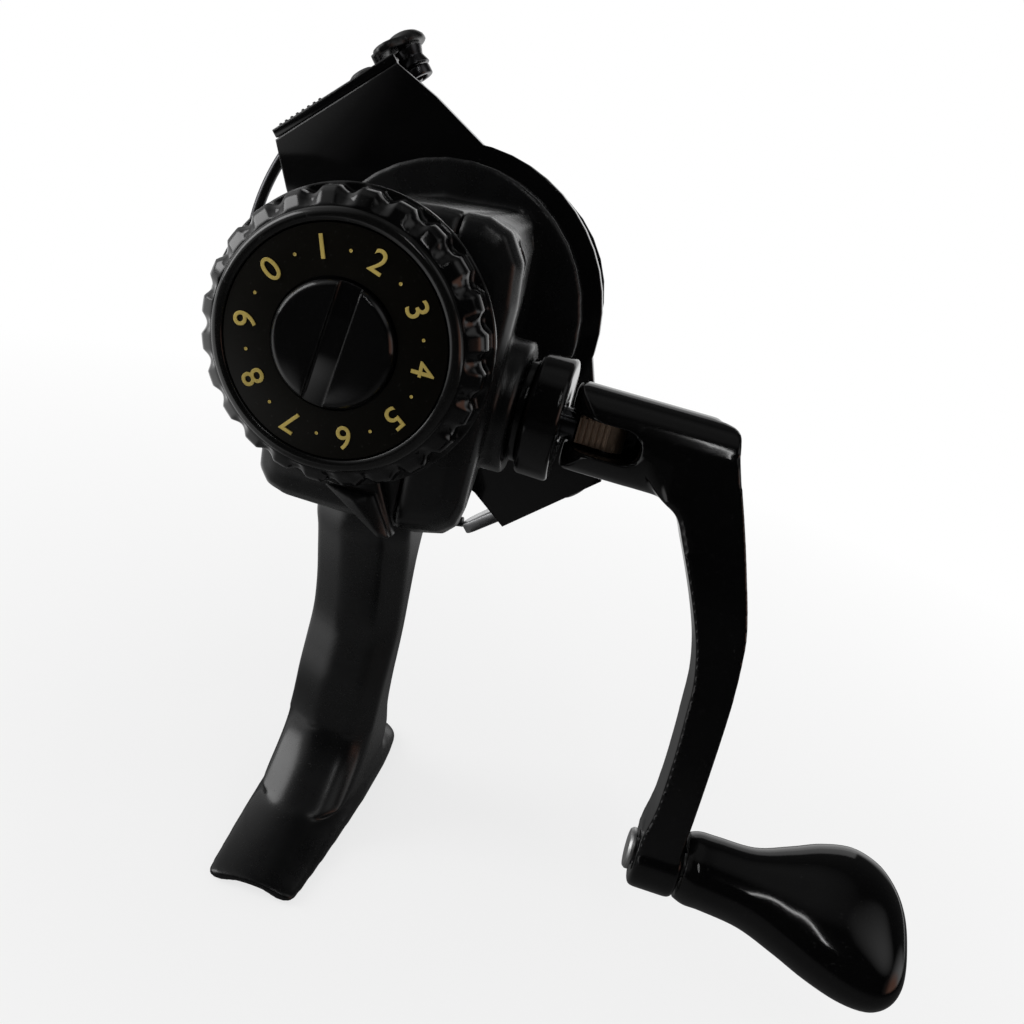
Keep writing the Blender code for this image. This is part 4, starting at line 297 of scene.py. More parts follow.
def felt(look, colour, oiled, fluff):
    """Oiled felt of the drag washers."""
    place = look.spot()
    fibre = look.noise(place, 3200.0, 5.0, 0.7)
    oil = look.noise(place, 240.0, 3.0, 0.5)
    shade = look.blend(look.spread(oil, 0.35, 0.7), colour, oiled)
    shade = look.blend(look.spread(fibre, 0.4, 0.65) * 0.4, shade, fluff)
    return look.node("ShaderNodeBsdfPrincipled", {}, {
        "Base Color": shade, "Roughness": look.spread(oil, 0.3, 0.8) * -0.25 + 0.95,
        "Normal": look.bump(fibre, 0.6)})


WORN_AND_HIGHLIT_TINT = (0.045, 0.043, 0.040)      # where black wears thin, and where edges are painted lighter as a highlight
FINISHES = {
    # Mouldings: colour or the panel's name for it, roughness, how far it varies, orange peel, radius of softened
    # edges, grain, share of edge wear and painted edge highlight, specular level, tint of worn and highlighted edges.
    # The casts have soft edges in their meshes already.
    "gloss_black": (moulding, "gloss", 0.09, 0.05, 0.02, 0.00035, 700.0, 0.5, 0.5, WORN_AND_HIGHLIT_TINT),
    "satin_black": (moulding, "satin", 0.27, 0.10, 0.06, 0.0006, 900.0, 0.5, 0.5, WORN_AND_HIGHLIT_TINT),
    "cast_gloss": (moulding, "gloss", 0.10, 0.05, 0.02, 0.0, 700.0, 0.5, 0.5, WORN_AND_HIGHLIT_TINT),
    "cast_satin": (moulding, "satin", 0.27, 0.10, 0.06, 0.0, 900.0, 0.5, 0.5, WORN_AND_HIGHLIT_TINT),
    "bezel_black": (moulding, (0.0030, 0.0030, 0.0029), 0.16, 0.06, 0.03, 0.0001, 700.0, 0.3, 0.5, WORN_AND_HIGHLIT_TINT),
    "olive_black": (moulding, "dial", 0.36, 0.10, 0.06, 0.0001, 700.0, 0.2, 0.15, WORN_AND_HIGHLIT_TINT),
    # The numbers' edges get a brighter gold: partly wear, partly a painted highlight.
    "gilt": (moulding, "gilt", 0.42, 0.12, 0.12, 0.00012, 700.0, 0.9, 0.5, (0.72, 0.60, 0.22)),
    # Metals: colour, roughness, how far it varies, grain, streaks
    "copper": (metal, "copper", 0.42, 0.14, 900.0, 0.12),
    "steel": (metal, (0.50, 0.50, 0.51), 0.24, 0.12, 1200.0, 0.08),
    "grey_steel": (metal, (0.62, 0.62, 0.62), 0.46, 0.12, 1500.0, 0.15),
    "dark_steel": (metal, (0.085, 0.085, 0.090), 0.26, 0.10, 1200.0, 0.06),
    "brass": (metal, (0.56, 0.38, 0.20), 0.34, 0.14, 1100.0, 0.12),
    "bronze": (metal, (0.34, 0.22, 0.11), 0.42, 0.16, 1100.0, 0.12),
    "alloy": (metal, (0.42, 0.42, 0.43), 0.40, 0.14, 1000.0, 0.12),
    # Felt: dry colour, oiled colour, fluff
    "felt": (felt, (0.105, 0.090, 0.072), (0.045, 0.036, 0.026), (0.20, 0.18, 0.15))}
MADE = {}       # finishes already made, by name


def finish(name):
    """The finish of that name, made when it is first asked for."""
    if name not in MADE:
        painter, tone, *values = FINISHES[name]
        if isinstance(tone, str):
            tone = tuple(getattr(bpy.context.scene.reel_colours, tone))
        MADE[name] = bpy.data.materials.new(name)
        look = Look(MADE[name])
        look.end("ShaderNodeOutputMaterial", painter(look, tone, *values))
    return MADE[name]


# Mesh helpers

def opened(mesh):
    """The mesh as a bmesh."""
    shape = bmesh.new()
    shape.from_mesh(mesh)
    return shape


def closed_up(shape, name, frame=UNMOVED, outward=False):
    """The bmesh as a new mesh, moved into a frame, with its faces turned outward if asked."""
    if outward:
        bmesh.ops.recalc_face_normals(shape, faces=shape.faces)
    mesh = bpy.data.meshes.new(name)
    shape.to_mesh(mesh)
    shape.free()
    mesh.transform(frame)
    return mesh


def smooth(mesh, limit):
    """Smooth faces, with sharp edges where the surface turns by more degrees than the limit, and no slivers."""
    shape = opened(mesh)
    bmesh.ops.remove_doubles(shape, verts=shape.verts, dist=1e-6)
    bmesh.ops.dissolve_degenerate(shape, edges=shape.edges, dist=2e-6)
    for face in shape.faces:
        face.smooth = True
    for edge in shape.edges:
        edge.smooth = len(edge.link_faces) == 2 and edge.calc_face_angle(0) < math.radians(limit)
    shape.to_mesh(mesh)
    shape.free()


def loose(name, data):
    """An object of its own in the scene."""
    thing = bpy.data.objects.new(name, data)
    bpy.context.scene.collection.objects.link(thing)
    return thing


def place_piece(name, mesh, paint, body, nodes=(), limit=32):
    """Put a mesh in the scene, on its CAD body, in place of the CAD nodes it stands for, smoothed up to a limit."""
    if limit:
        smooth(mesh, limit)
    thing = loose(name, mesh)
    mesh.materials.clear()
    mesh.materials.append(finish(paint))
    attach(thing, body)
    if nodes:
        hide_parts(*nodes)


def baked(thing):
    """The object's mesh with its modifiers, and the object itself taken away."""
    bpy.context.view_layer.update()
    graph = bpy.context.evaluated_depsgraph_get()
    mesh = bpy.data.meshes.new_from_object(thing.evaluated_get(graph))
    bpy.data.objects.remove(thing)
    return mesh


def cad_copy(node):
    """A merged copy of a CAD node's mesh, with its flat faces joined."""
    shape = opened(FRAME["nodes"][node].data)
    bmesh.ops.remove_doubles(shape, verts=shape.verts, dist=2e-6)
    bmesh.ops.dissolve_limit(shape, angle_limit=math.radians(0.5), verts=shape.verts, edges=shape.edges)
    mesh = closed_up(shape, node)
    for name in ("custom_normal", "sharp_face"):
        if name in mesh.attributes:
            mesh.attributes.remove(mesh.attributes[name])
    return mesh


def eased(mesh, width, limit=40):
    """The mesh with its hard edges rounded."""
    thing = loose("eased", mesh)
    bevel = thing.modifiers.new("Edges", "BEVEL")
    bevel.width = width
    bevel.segments = 2
    bevel.limit_method = "ANGLE"
    bevel.angle_limit = math.radians(limit)
    bevel.use_clamp_overlap = True
    bevel.miter_outer = "MITER_ARC"
    return baked(thing)


def blended(mesh, low, high, passes):
    """The mesh made softer between two corners of a box, where two forms meet."""
    shape = opened(mesh)
    chosen = [vert for vert in shape.verts if all(low[axis] < vert.co[axis] < high[axis] for axis in range(3))]
    for _ in range(passes):
        bmesh.ops.smooth_vert(shape, verts=chosen, factor=0.5, use_axis_x=True, use_axis_y=True, use_axis_z=True)
    shape.to_mesh(mesh)
    shape.free()
    return mesh


def cast(meshes, voxel, passes):
    """Closed meshes melted into one casting, with soft edges and fillets."""
    thing = loose("cast", merged(meshes))
    melt = thing.modifiers.new("Melt", "REMESH")
    melt.mode = "VOXEL"
    melt.voxel_size = voxel
    soften = thing.modifiers.new("Soften", "SMOOTH")
    soften.factor = 0.5
    soften.iterations = passes
    mesh = baked(thing)
    smooth(mesh, 180)
    return mesh


def curved(points, steps, closed=False):
    """More points on a smooth curve through the points given."""
    count = len(points)
    rows = [Vector(point) for point in points]
    made = []
    for index in range(count if closed else count - 1):
        near = [rows[(index + shift) % count if closed else min(max(index + shift, 0), count - 1)]
                for shift in (-1, 0, 1, 2)]
        for step in range(steps):
            part = step / steps
            first = near[1] * 2
            second = (near[2] - near[0]) * part
            third = (near[0] * 2 - near[1] * 5 + near[2] * 4 - near[3]) * part ** 2
            fourth = (near[1] * 3 - near[0] - near[2] * 3 + near[3]) * part ** 3
            made.append((first + second + third + fourth) / 2)
    if not closed:
        made.append(rows[-1])
    return made


def span(node, frame):
    """Lowest and highest corners of a CAD node in a frame of its own."""
    inward = frame.inverted()
    spots = [inward @ vertex.co for vertex in FRAME["nodes"][node].data.vertices]
    return [Vector([pick(spot[axis] for spot in spots) for axis in range(3)]) for pick in (min, max)]


def wall(shape, first, second):
    """Faces between two rings of corners."""
    for index in range(len(first)):
        beside = (index + 1) % len(first)
        shape.faces.new((first[index], first[beside], second[beside], second[index]))


def prism(outline, low, high, frame):
    """An outline in the frame's XY plane drawn out between two heights."""
    shape = bmesh.new()
    rings = [[shape.verts.new((across, up, height)) for across, up in outline] for height in (low, high)]
    shape.faces.new(list(reversed(rings[0])))
    shape.faces.new(rings[1])
    wall(shape, *rings)
    return closed_up(shape, "prism", frame, True)


def rounded(profile, radius, count, closed=False):
    """A profile with its corners rounded by arcs, drawn as quadratic curves."""
    points = [Vector(point) for point in profile]
    made = []
    total = len(points)
    for index, point in enumerate(points):
        if not closed and index in (0, total - 1):
            made.append(tuple(point))
            continue
        back = points[index - 1] - point
        ahead = points[(index + 1) % total] - point
        reach = min(radius, back.length * 0.45, ahead.length * 0.45)
        start = point + back.normalized() * reach
        end = point + ahead.normalized() * reach
        for step in range(count + 1):
            share = step / count
            made.append(tuple(start.lerp(point, share).lerp(point.lerp(end, share), share)))
    return made


def turned(profile, frame, along, steps, closed=False, rule=None):
    """A turned mesh from radius and height pairs; the rule may change the radius with the angle."""
    shape = bmesh.new()
    rings = []
    for radius, height in profile:
        if radius < 1e-7:
            rings.append([shape.verts.new((0, 0, height))])
            continue
        ring = []
        for index in range(steps):
            angle = math.tau * index / steps
            far = rule(radius, height, angle) if rule else radius
            ring.append(shape.verts.new((far * math.cos(angle), far * math.sin(angle), height)))
        rings.append(ring)
    pairs = list(zip(rings, rings[1:]))
    if closed:
        pairs.append((rings[-1], rings[0]))
    for first, second in pairs:
        for index in range(steps):
            beside = (index + 1) % steps
            corners = []
            for ring, spot in ((first, index), (first, beside), (second, beside), (second, index)):
                corner = ring[spot % len(ring)] if len(ring) > 1 else ring[0]
                if corner not in corners:
                    corners.append(corner)
            if len(corners) > 2:
                shape.faces.new(corners)
    return closed_up(shape, "turned", frame @ ALONG[along], True)


def cylinder(radius, start, end, frame, along, steps, inner=0, soft=0, count=0):
    """A cylinder between two heights, a ring where it has an inner radius, with its corners rounded if asked."""
    profile = [(inner, start), (radius, start), (radius, end), (inner, end)]
    if soft:
        profile = rounded(profile, soft, count, inner > 0)
    return turned(profile, frame, along, steps, closed=inner > 0)


def merged(meshes):
    """Several meshes as one."""
    shape = bmesh.new()
    for mesh in meshes:
        shape.from_mesh(mesh)
    return closed_up(shape, "merged")


def carved(mesh, cutters, operation="DIFFERENCE"):
    """The mesh with the cutters taken away, or what it shares with them."""
    thing = loose("carved", mesh)
    tools = []
    for cutter in cutters:
        tool = loose("tool", cutter)
        tools.append(tool)
        boolean = thing.modifiers.new("Cut", "BOOLEAN")
        boolean.operation = operation
        boolean.solver = "EXACT"
        boolean.object = tool
    mesh = baked(thing)
    for tool in tools:
        bpy.data.objects.remove(tool)
    return mesh


def slab(low, high, frame, turn=UNMOVED):
    """A box between two corners, turned and then placed."""
    shape = bmesh.new()
    bmesh.ops.create_cube(shape, size=1)
    size = Vector(high) - Vector(low)
    middle = (Vector(high) + Vector(low)) / 2
    bmesh.ops.scale(shape, vec=size, verts=shape.verts)
    bmesh.ops.translate(shape, vec=middle, verts=shape.verts)
    return closed_up(shape, "slab", frame @ turn)


def skin(sections, frame):
    """A closed skin through rings of points, with its ends fanned."""
    shape = bmesh.new()
    rings = [[shape.verts.new(point) for point in section] for section in sections]
    count = len(rings[0])
    for first, second in zip(rings, rings[1:]):
        wall(shape, first, second)
    for ring in (rings[0], rings[-1]):
        middle = shape.verts.new(sum((corner.co for corner in ring), Vector()) / count)
        for index in range(count):
            shape.faces.new((ring[index], ring[(index + 1) % count], middle))
    return closed_up(shape, "skin", frame, True)


# Geometry Nodes

class Tree:
    """A Geometry Nodes tree under construction, with named inputs."""

    def __init__(self, name, inputs):
        self.tree = bpy.data.node_groups.new(name, "GeometryNodeTree")
        self.tree.is_modifier = True
        self.tree.interface.new_socket("Geometry", in_out="INPUT", socket_type="NodeSocketGeometry")
        for label, kind, value in inputs:
            socket = self.tree.interface.new_socket(label, in_out="INPUT", socket_type=f"NodeSocket{kind}")
            if value is not None:
                socket.default_value = value
        self.tree.interface.new_socket("Geometry", in_out="OUTPUT", socket_type="NodeSocketGeometry")
        self.start = self.tree.nodes.new("NodeGroupInput")
        self.finish = self.tree.nodes.new("NodeGroupOutput")

    def given(self, label):
        """The tree's input of that name."""
        return self.start.outputs[label]

    def node(self, kind, settings, values, output=0):
        """Add a node and give one of its outputs."""
        return add_node(self.tree, kind, settings, values).outputs[output]

    def shape(self):
        """What the tree's input named Shape holds."""
        return self.node("GeometryNodeObjectInfo", {"transform_space": "ORIGINAL"},
                         {"Object": self.given("Shape")}, "Geometry")

    def close(self, geometry, material):
        """Realise the instances and set their material."""
        real = self.node("GeometryNodeRealizeInstances", {}, {0: geometry})
        shown = self.node("GeometryNodeSetMaterial", {}, {"Geometry": real, "Material": material})
        self.tree.links.new(shown, self.finish.inputs[0])

    def run(self, base, values):
        """The tree's result on a base mesh, as a plain mesh."""
        thing = loose("grown", base)
        modifier = thing.modifiers.new("Grow", "NODES")
        modifier.node_group = self.tree
        names = {item.name: item.identifier for item in self.tree.interface.items_tree
                 if item.item_type == "SOCKET" and item.in_out == "INPUT"}
        for label, value in values.items():
            modifier[names[label]] = value
        return baked(thing)

    def run_with(self, shape_mesh, base, values):
        """The tree's result with a small shape handed to its input named Shape."""
        pattern = loose("pattern", shape_mesh)
        mesh = self.run(base, {"Shape": pattern, **values})
        bpy.data.objects.remove(pattern)
        return mesh


def points_mesh(points):
    """A mesh that is only points, with the way each one faces."""
    mesh = bpy.data.meshes.new("points")
    mesh.from_pydata([tuple(place) for place, _ in points], [], [])
    facing = mesh.attributes.new("facing", "FLOAT_VECTOR", "POINT")
    for item, (_, way) in zip(facing.data, points):
        item.vector = way
    return mesh


def set_out(shape_mesh, points, paint):
    """Copies of a small shape on points, each turned to face its point's way."""
    tree = Tree("set_out", [("Shape", "Object", None), ("Size", "Float", 1.0), ("Finish", "Material", None)])
    facing = tree.node("GeometryNodeInputNamedAttribute", {"data_type": "FLOAT_VECTOR"}, {"Name": "facing"})
    turn = tree.node("FunctionNodeAlignRotationToVector", {"axis": "Z"}, {"Vector": facing})
    copies = tree.node("GeometryNodeInstanceOnPoints", {}, {
        "Points": tree.given("Geometry"), "Instance": tree.shape(), "Rotation": turn, "Scale": tree.given("Size")})
    tree.close(copies, tree.given("Finish"))
    return tree.run_with(shape_mesh, points_mesh(points), {"Size": 1.0, "Finish": finish(paint)})


def round_row(shape_mesh, count, radius, start, paint, frame):
    """Copies of a small shape round a circle about the frame's Y axis, each with its own Z pointing outwards."""
    tree = Tree("round_row", [("Shape", "Object", None), ("Count", "Int", 10), ("Radius", "Float", 0.01),
                              ("Start", "Float", 0.0), ("Finish", "Material", None)])
    circle = tree.node("GeometryNodeMeshCircle", {}, {"Vertices": tree.given("Count"), "Radius": 1.0})
    index = tree.node("GeometryNodeInputIndex", {}, {})
    share = tree.node("ShaderNodeMath", {"operation": "DIVIDE"}, {0: index, 1: tree.given("Count")})
    turn = tree.node("ShaderNodeMath", {"operation": "MULTIPLY_ADD"}, {0: share, 1: math.tau,
                                                                       2: tree.given("Start")})
    across = tree.node("ShaderNodeMath", {"operation": "SINE"}, {0: turn})
    up = tree.node("ShaderNodeMath", {"operation": "COSINE"}, {0: turn})
    spot = tree.node("ShaderNodeCombineXYZ", {}, {"X": across, "Z": up})
    far = tree.node("ShaderNodeVectorMath", {"operation": "SCALE"}, {0: spot, "Scale": tree.given("Radius")})
    moved = tree.node("GeometryNodeSetPosition", {}, {"Geometry": circle, "Position": far})
    angles = tree.node("ShaderNodeCombineXYZ", {}, {"Y": turn})
    copies = tree.node("GeometryNodeInstanceOnPoints", {}, {"Points": moved, "Instance": tree.shape(),
                                                            "Rotation": angles})
    tree.close(copies, tree.given("Finish"))
    mesh = tree.run_with(shape_mesh, bpy.data.meshes.new("base"), {
        "Count": count, "Radius": radius, "Start": start, "Finish": finish(paint)})
    mesh.transform(frame)
    return mesh


def along_path(points, radius, paint):
    """A round wire along a smooth path through the points."""
    tree = Tree("along_path", [("Radius", "Float", 0.001), ("Sides", "Int", 16), ("Length", "Float", 0.0004),
                               ("Finish", "Material", None)])
    curve = tree.node("GeometryNodeMeshToCurve", {}, {"Mesh": tree.given("Geometry")})
    bent = tree.node("GeometryNodeCurveSplineType", {"spline_type": "CATMULL_ROM"}, {"Curve": curve})
    even = tree.node("GeometryNodeResampleCurve", {"mode": "LENGTH"}, {"Curve": bent, "Length": tree.given("Length")})
    ring = tree.node("GeometryNodeCurvePrimitiveCircle", {}, {"Resolution": tree.given("Sides"),
                                                              "Radius": tree.given("Radius")})
    tube = tree.node("GeometryNodeCurveToMesh", {}, {"Curve": even, "Profile Curve": ring, "Fill Caps": True})
    tree.close(tube, tree.given("Finish"))
    base = bpy.data.meshes.new("path")
    base.from_pydata([tuple(point) for point in points], [(i, i + 1) for i in range(len(points) - 1)], [])
    return tree.run(base, {"Radius": radius, "Sides": 20, "Finish": finish(paint)})


# Pieces

def dress(name, paint, width):
    """Stand an eased copy in the place of a CAD node."""
    place_piece(f"{name}_piece", eased(cad_copy(name), width), paint, FRAME["nodes"][name]["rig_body"], (name,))


class REEL_OT_inner(bpy.types.Operator):
    """Gives the gears, washers, shafts and springs inside the reel their metals"""
    bl_idname = "reel.inner"
    bl_label = "Inner works"

    def execute(self, context):
        for node, thing in FRAME["nodes"].items():
            slot = SLOTS[node]
            thing.data.materials.clear()
            thing.data.materials.append(finish("grey_steel" if slot == "grey" else slot))
        return {"FINISHED"}


# Stem: drop below the main axis, then its rear and front as shares of the body's length
STEM_ROWS = [
    (0.0238, 0.524, 0.940), (0.0302, 0.533, 0.897), (0.0342, 0.580, 0.879), (0.0384, 0.621, 0.879),
    (0.0447, 0.679, 0.902), (0.0508, 0.712, 0.928), (0.0559, 0.700, 0.937), (0.0608, 0.682, 0.940),
    (0.0665, 0.676, 0.963), (0.0700, 0.660, 1.002), (0.0728, 0.626, 1.037), (0.0752, 0.578, 1.050),
    (0.0773, 0.528, 1.055), (0.0793, 0.475, 1.055)]
# Foot: place along the body's length, then width and height as shares of the largest
FOOT_ROWS = [
    (0.178, 0.64, 0.21), (0.196, 0.79, 0.23), (0.264, 0.84, 0.27), (0.334, 0.87, 0.33), (0.404, 0.90, 0.42),
    (0.524, 0.94, 0.60), (0.664, 0.98, 0.79), (0.756, 1.00, 0.98), (0.861, 1.00, 1.00), (1.020, 1.00, 0.90),
    (1.125, 0.96, 0.60), (1.213, 0.88, 0.38), (1.269, 0.66, 0.24), (1.289, 0.40, 0.17)]
# Foot's section, from one edge of the sole over its ridge to the other
FOOT_RIDGE = [
    (-1.0, 0.0), (-1.0, 0.34), (-0.86, 0.60), (-0.5, 0.86), (-0.14, 0.99), (0.14, 0.99), (0.5, 0.86),
    (0.86, 0.60), (1.0, 0.34), (1.0, 0.0)]


def stem_and_foot():
    """The curved stem with its leaning facets, and the foot with its ridge and hollowed sole."""
    half = 0.0075           # of the stem's width
    wide_facet = 0.0056     # across the left facet
    rings = []
    for drop, rear, front in curved(STEM_ROWS, 4):
        rear, front = rear * BODY_LENGTH, front * BODY_LENGTH
        deep = min(0.0034, (front - rear) / 3)
        soft = min(0.0028, (front - rear) / 3)
        corners = [(half, rear + soft), (half - soft, rear), (wide_facet - half, rear), (-half, rear + deep),
                   (-half, front - soft), (soft - half, front), (half - soft, front), (half, front - soft)]
        rings.append([(across, depth, -drop) for across, depth in rounded(corners, 0.0008, 3, True)])
    stem = skin(rings, KNOB_FRAME)
    foot_half, foot_height = 0.0084, 0.0080
    ridge = curved(FOOT_RIDGE, 3)
    rings = [[(point.x * wide * foot_half, depth * BODY_LENGTH, point.y * rise * foot_height - AXIS_HEIGHT)
              for point in ridge] for depth, wide, rise in curved(FOOT_ROWS, 4)]
    foot = skin(rings, KNOB_FRAME)
    hollow, seat_radius = 0.0008, 0.0110
    sole = KNOB_FRAME @ Matrix.Translation((0, 0, hollow - seat_radius - AXIS_HEIGHT))
    saddles = [cylinder(seat_radius, low, high, sole, "Y", 96) for low, high in ((0, 0.0300), (0.0420, 0.0950))]
    return [stem, carved(foot, saddles)]


class REEL_OT_body(bpy.types.Operator):
    """Makes the cast housing with its stem and foot, and its cover with the crank's boss"""
    bl_idname = "reel.body"
    bl_label = "Housing and foot"

    def execute(self, context):
        chin = -0.02705         # the housing's own form ends here, and the stem starts
        below = slab((-0.03, 0, -0.10), (0.03, 0.08, chin), KNOB_FRAME)
        shell = carved(cad_copy("body_housing"), [below])
        housing = cast([shell], 0.00042, 4)
        place_piece("housing_piece", housing, "satin_black", "frame", ("body_housing",), None)
        instep = (-0.012, -0.0215, 0.0022), (0.012, 0.0005, 0.0145)      # where the stem runs into the foot
        stem = blended(cast(stem_and_foot(), 0.00028, 16), *instep, 70)
        place_piece("stem_piece", stem, "cast_satin", "frame", limit=None)
        cover = cast([cad_copy("side_cover")], 0.00034, 5)
        boss = turned(rounded([(0.0060, 0.0150), (0.00915, 0.0150), (0.00915, 0.0191), (0.0060, 0.0191)],
                              0.0007, 5), CRANK_FRAME, "X", 128, closed=True)
        cover = merged([cover, boss])
        place_piece("cover_piece", cover, "satin_black", "frame", ("side_cover",), 60)
        return {"FINISHED"}


def fluted(radius, height, angle):
    """The knob's rim, scooped between its lands behind the flange."""
    sizes = bpy.context.scene.reel_sizes
    inside, outside, flange = 0.0150, 0.0173, 0.00515
    if not inside < radius < outside or height > flange:
        return radius
    fade = min(1, (radius - inside) / 0.0007)
    turn = (angle * sizes.flutes / math.tau) % 1
    start, end, width = 0.21, 0.79, 0.58        # of the scoop, as shares of a flute's pitch
    scoop = max(0, math.sin(math.pi * (turn - start) / width)) if start < turn < end else 0
    return radius - sizes.flute_depth * scoop * fade


class REEL_OT_knob(bpy.types.Operator):
    """Makes the fluted drag knob with its bezel, its slotted cap, and its dial with numbers"""
    bl_idname = "reel.knob"
    bl_label = "Drag knob and dial"

    def execute(self, context):
        sizes = context.scene.reel_sizes
        outside = rounded([
            (0.0, 0.0064), (0.01745, 0.0064), (0.0175, 0.00515), (0.01700, 0.0050), (0.01705, 0.0032),
            (0.01685, 0.00235), (0.01640, 0.00175), (0.01510, 0.00090), (0.01472, 0.00080), (0.0134, 0.00050),
            (0.01325, 0.0009), (0.0, 0.0009)], 0.00022, 3)
        knob = turned(outside, KNOB_FRAME, "Y", 480, rule=fluted)
        bore = cylinder(0.0098, 0.0019, 0.0080, KNOB_FRAME, "Y", 64)
        groove = cylinder(0.0138, 0.0030, 0.0080, KNOB_FRAME, "Y", 64, 0.0115)
        knob = carved(knob, [bore, groove])
        place_piece("drag_knob_piece", knob, "gloss_black", "knob", ("drag_knob",))

        bezel = turned(rounded([(0.01325, 0.0006), (0.01330, 0.00020), (0.01360, 0.00004), (0.01395, 0.0),
                                (0.01430, 0.00010), (0.01460, 0.00034), (0.01480, 0.0007)], 0.00012, 3),
                       KNOB_FRAME, "Y", 240, closed=True)
        place_piece("bezel_piece", bezel, "bezel_black", "knob")

        cap = turned(rounded([(0, -0.0009), (0.00670, -0.0009), (0.0072, -0.00035), (0.0072, 0.0006),
                              (0.0022, 0.0006), (0.0022, 0.0016), (0, 0.0016)], 0.00024, 4), KNOB_FRAME, "Y", 160)
        slot = slab((-0.0085, -0.0020, -0.00135), (0.0085, -0.0002, 0.00135), KNOB_FRAME,
                    spin(-82, "Y"))
        cap = eased(carved(cap, [slot]), 0.00010, 50)
        place_piece("cap_piece", cap, "gloss_black", "knob", ("drag_cap_screw",))

        dial = turned(rounded([(0.0075, 0.0003), (0.0131, 0.0003), (0.0131, 0.0006), (0.0075, 0.0006),
                               (0.0075, 0.0003)], 0.00005, 2)[:-1], KNOB_FRAME, "Y", 160, closed=True)
        place_piece("dial_piece", dial, "olive_black", "knob", ("dial_ring",))
        self.numbers(sizes)
        return {"FINISHED"}

    def numbers(self, sizes):
        """Raised gilt numbers round the dial, with a bead between each pair."""
        circle = 0.01045        # that the numbers and beads stand on
        meshes = []
        for number in range(sizes.dial_numbers):
            words = bpy.data.curves.new("number", "FONT")
            words.body = str(number)
            words.size = sizes.digit_height * 1.42
            words.align_x = "CENTER"
            words.align_y = "CENTER"
            words.extrude = 0.00005
            words.bevel_depth = 0.00003
            mesh = baked(loose("number", words))
            turn = math.tau * (number - 1.5) / sizes.dial_numbers
            spot = Matrix.Rotation(turn, 4, "Y") @ Matrix.Translation((0, 0.00022, circle))
            mesh.transform(KNOB_FRAME @ spot @ spin(90, "X"))
            meshes.append(mesh)
        bead = turned([(0, 0.0001), (0.0001, 0.00008), (0.00020, 0.0)], UNMOVED, "Y", 12)
        start = -math.tau / sizes.dial_numbers
        meshes.append(round_row(bead, sizes.dial_numbers, circle, start, "gilt",
                                KNOB_FRAME @ Matrix.Translation((0, 0.00020, 0))))
        marks = merged(meshes)
        place_piece("dial_numbers", marks, "gilt", "knob")


class REEL_OT_lever(bpy.types.Operator):
    """Makes the anti-reverse lever under the knob, a blade with a ridge on a round hub"""
    bl_idname = "reel.lever"
    bl_label = "Anti-reverse lever"

    def execute(self, context):
        pivot = KNOB_FRAME @ Matrix.Translation((-0.0010, 0, -0.0145))
        plate = [(-0.0016, -0.0018), (0.0008, 0.0022), (0.0070, -0.0004), (0.0080, -0.0026), (0.0108, -0.0082),
                 (0.0102, -0.0086), (0.0091, -0.0086)]
        blade = prism([(across, -up) for across, up in plate], 0.0069, 0.0083,
                      pivot @ spin(-90, "X"))
        outline = [(0.0012, -0.0037), (0.0050, -0.0036), (0.0076, -0.0034), (0.0106, -0.0082),
                   (0.0101, -0.0085), (0.0091, -0.0085)]
        shape = bmesh.new()
        low, high = [[shape.verts.new((across, depth, up)) for across, up in outline] for depth in (0.0060, 0.0071)]
        ridge = [shape.verts.new(point) for point in ((0.0054, 0.0050, -0.0044), (0.0092, 0.0050, -0.0074))]
        shape.faces.new(high)
        wall(shape, low, high)
        for corners in ((low[0], low[1], ridge[0]), (low[1], low[2], ridge[0]),
                        (low[2], low[3], ridge[1], ridge[0]), (low[3], low[4], ridge[1]),
                        (low[4], low[5], ridge[1]), (low[5], low[0], ridge[0], ridge[1])):
            shape.faces.new(corners)
        thumb = closed_up(shape, "thumb", pivot, True)
        hub = carved(cad_copy("anti_reverse_lever"), [
            slab((-0.0300, 0.0, -0.0300), (0.0300, 0.0084, -0.0031), pivot),
            slab((0.0031, 0.0, -0.0300), (0.0300, 0.0084, 0.0300), pivot)])
        lever = merged([eased(hub, 0.00012), eased(blade, 0.00018), eased(thumb, 0.00014, 12)])
        place_piece("lever_piece", lever, "satin_black", "reverse_lever", ("anti_reverse_lever",))
        return {"FINISHED"}


def rib():
    """One rib of the thumb pad, standing on its base."""
    outline = rounded([(-0.00030, -0.0002), (0.00030, -0.0002), (0.00024, 0.00042), (-0.00024, 0.00042)],
                      0.00016, 3, True)
    return prism(outline, -0.0027, 0.0027, spin(90, "X"))


class REEL_OT_rotor(bpy.types.Operator):
    """Makes the rotor with its arms, and the cover with its ribbed patch"""
    bl_idname = "reel.rotor"
    bl_label = "Rotor"

    def execute(self, context):
        dress("rotor", "gloss_black", context.scene.reel_sizes.edge)
        low, high = span("bail_arm_cover", ROTOR_FRAME)
        top = low.z + 0.0014
        above = slab((-0.02, low.y - 0.01, top), (0.02, high.y + 0.01, high.z + 0.01), ROTOR_FRAME)
        plate = eased(carved(cad_copy("bail_arm_cover"), [above]), 0.00025)
        pitch = 0.0011
        places = [(Vector((low.x + 0.0015 + pitch * index, low.y + 0.0036, top)), (0, 0, 1)) for index in range(8)]
        ribs = set_out(rib(), places, "gloss_black")
        ribs.transform(ROTOR_FRAME)
        cover = merged([plate, ribs])
        place_piece("arm_cover_piece", cover, "gloss_black", "rotor_group", ("bail_arm_cover",), 50)
        return {"FINISHED"}


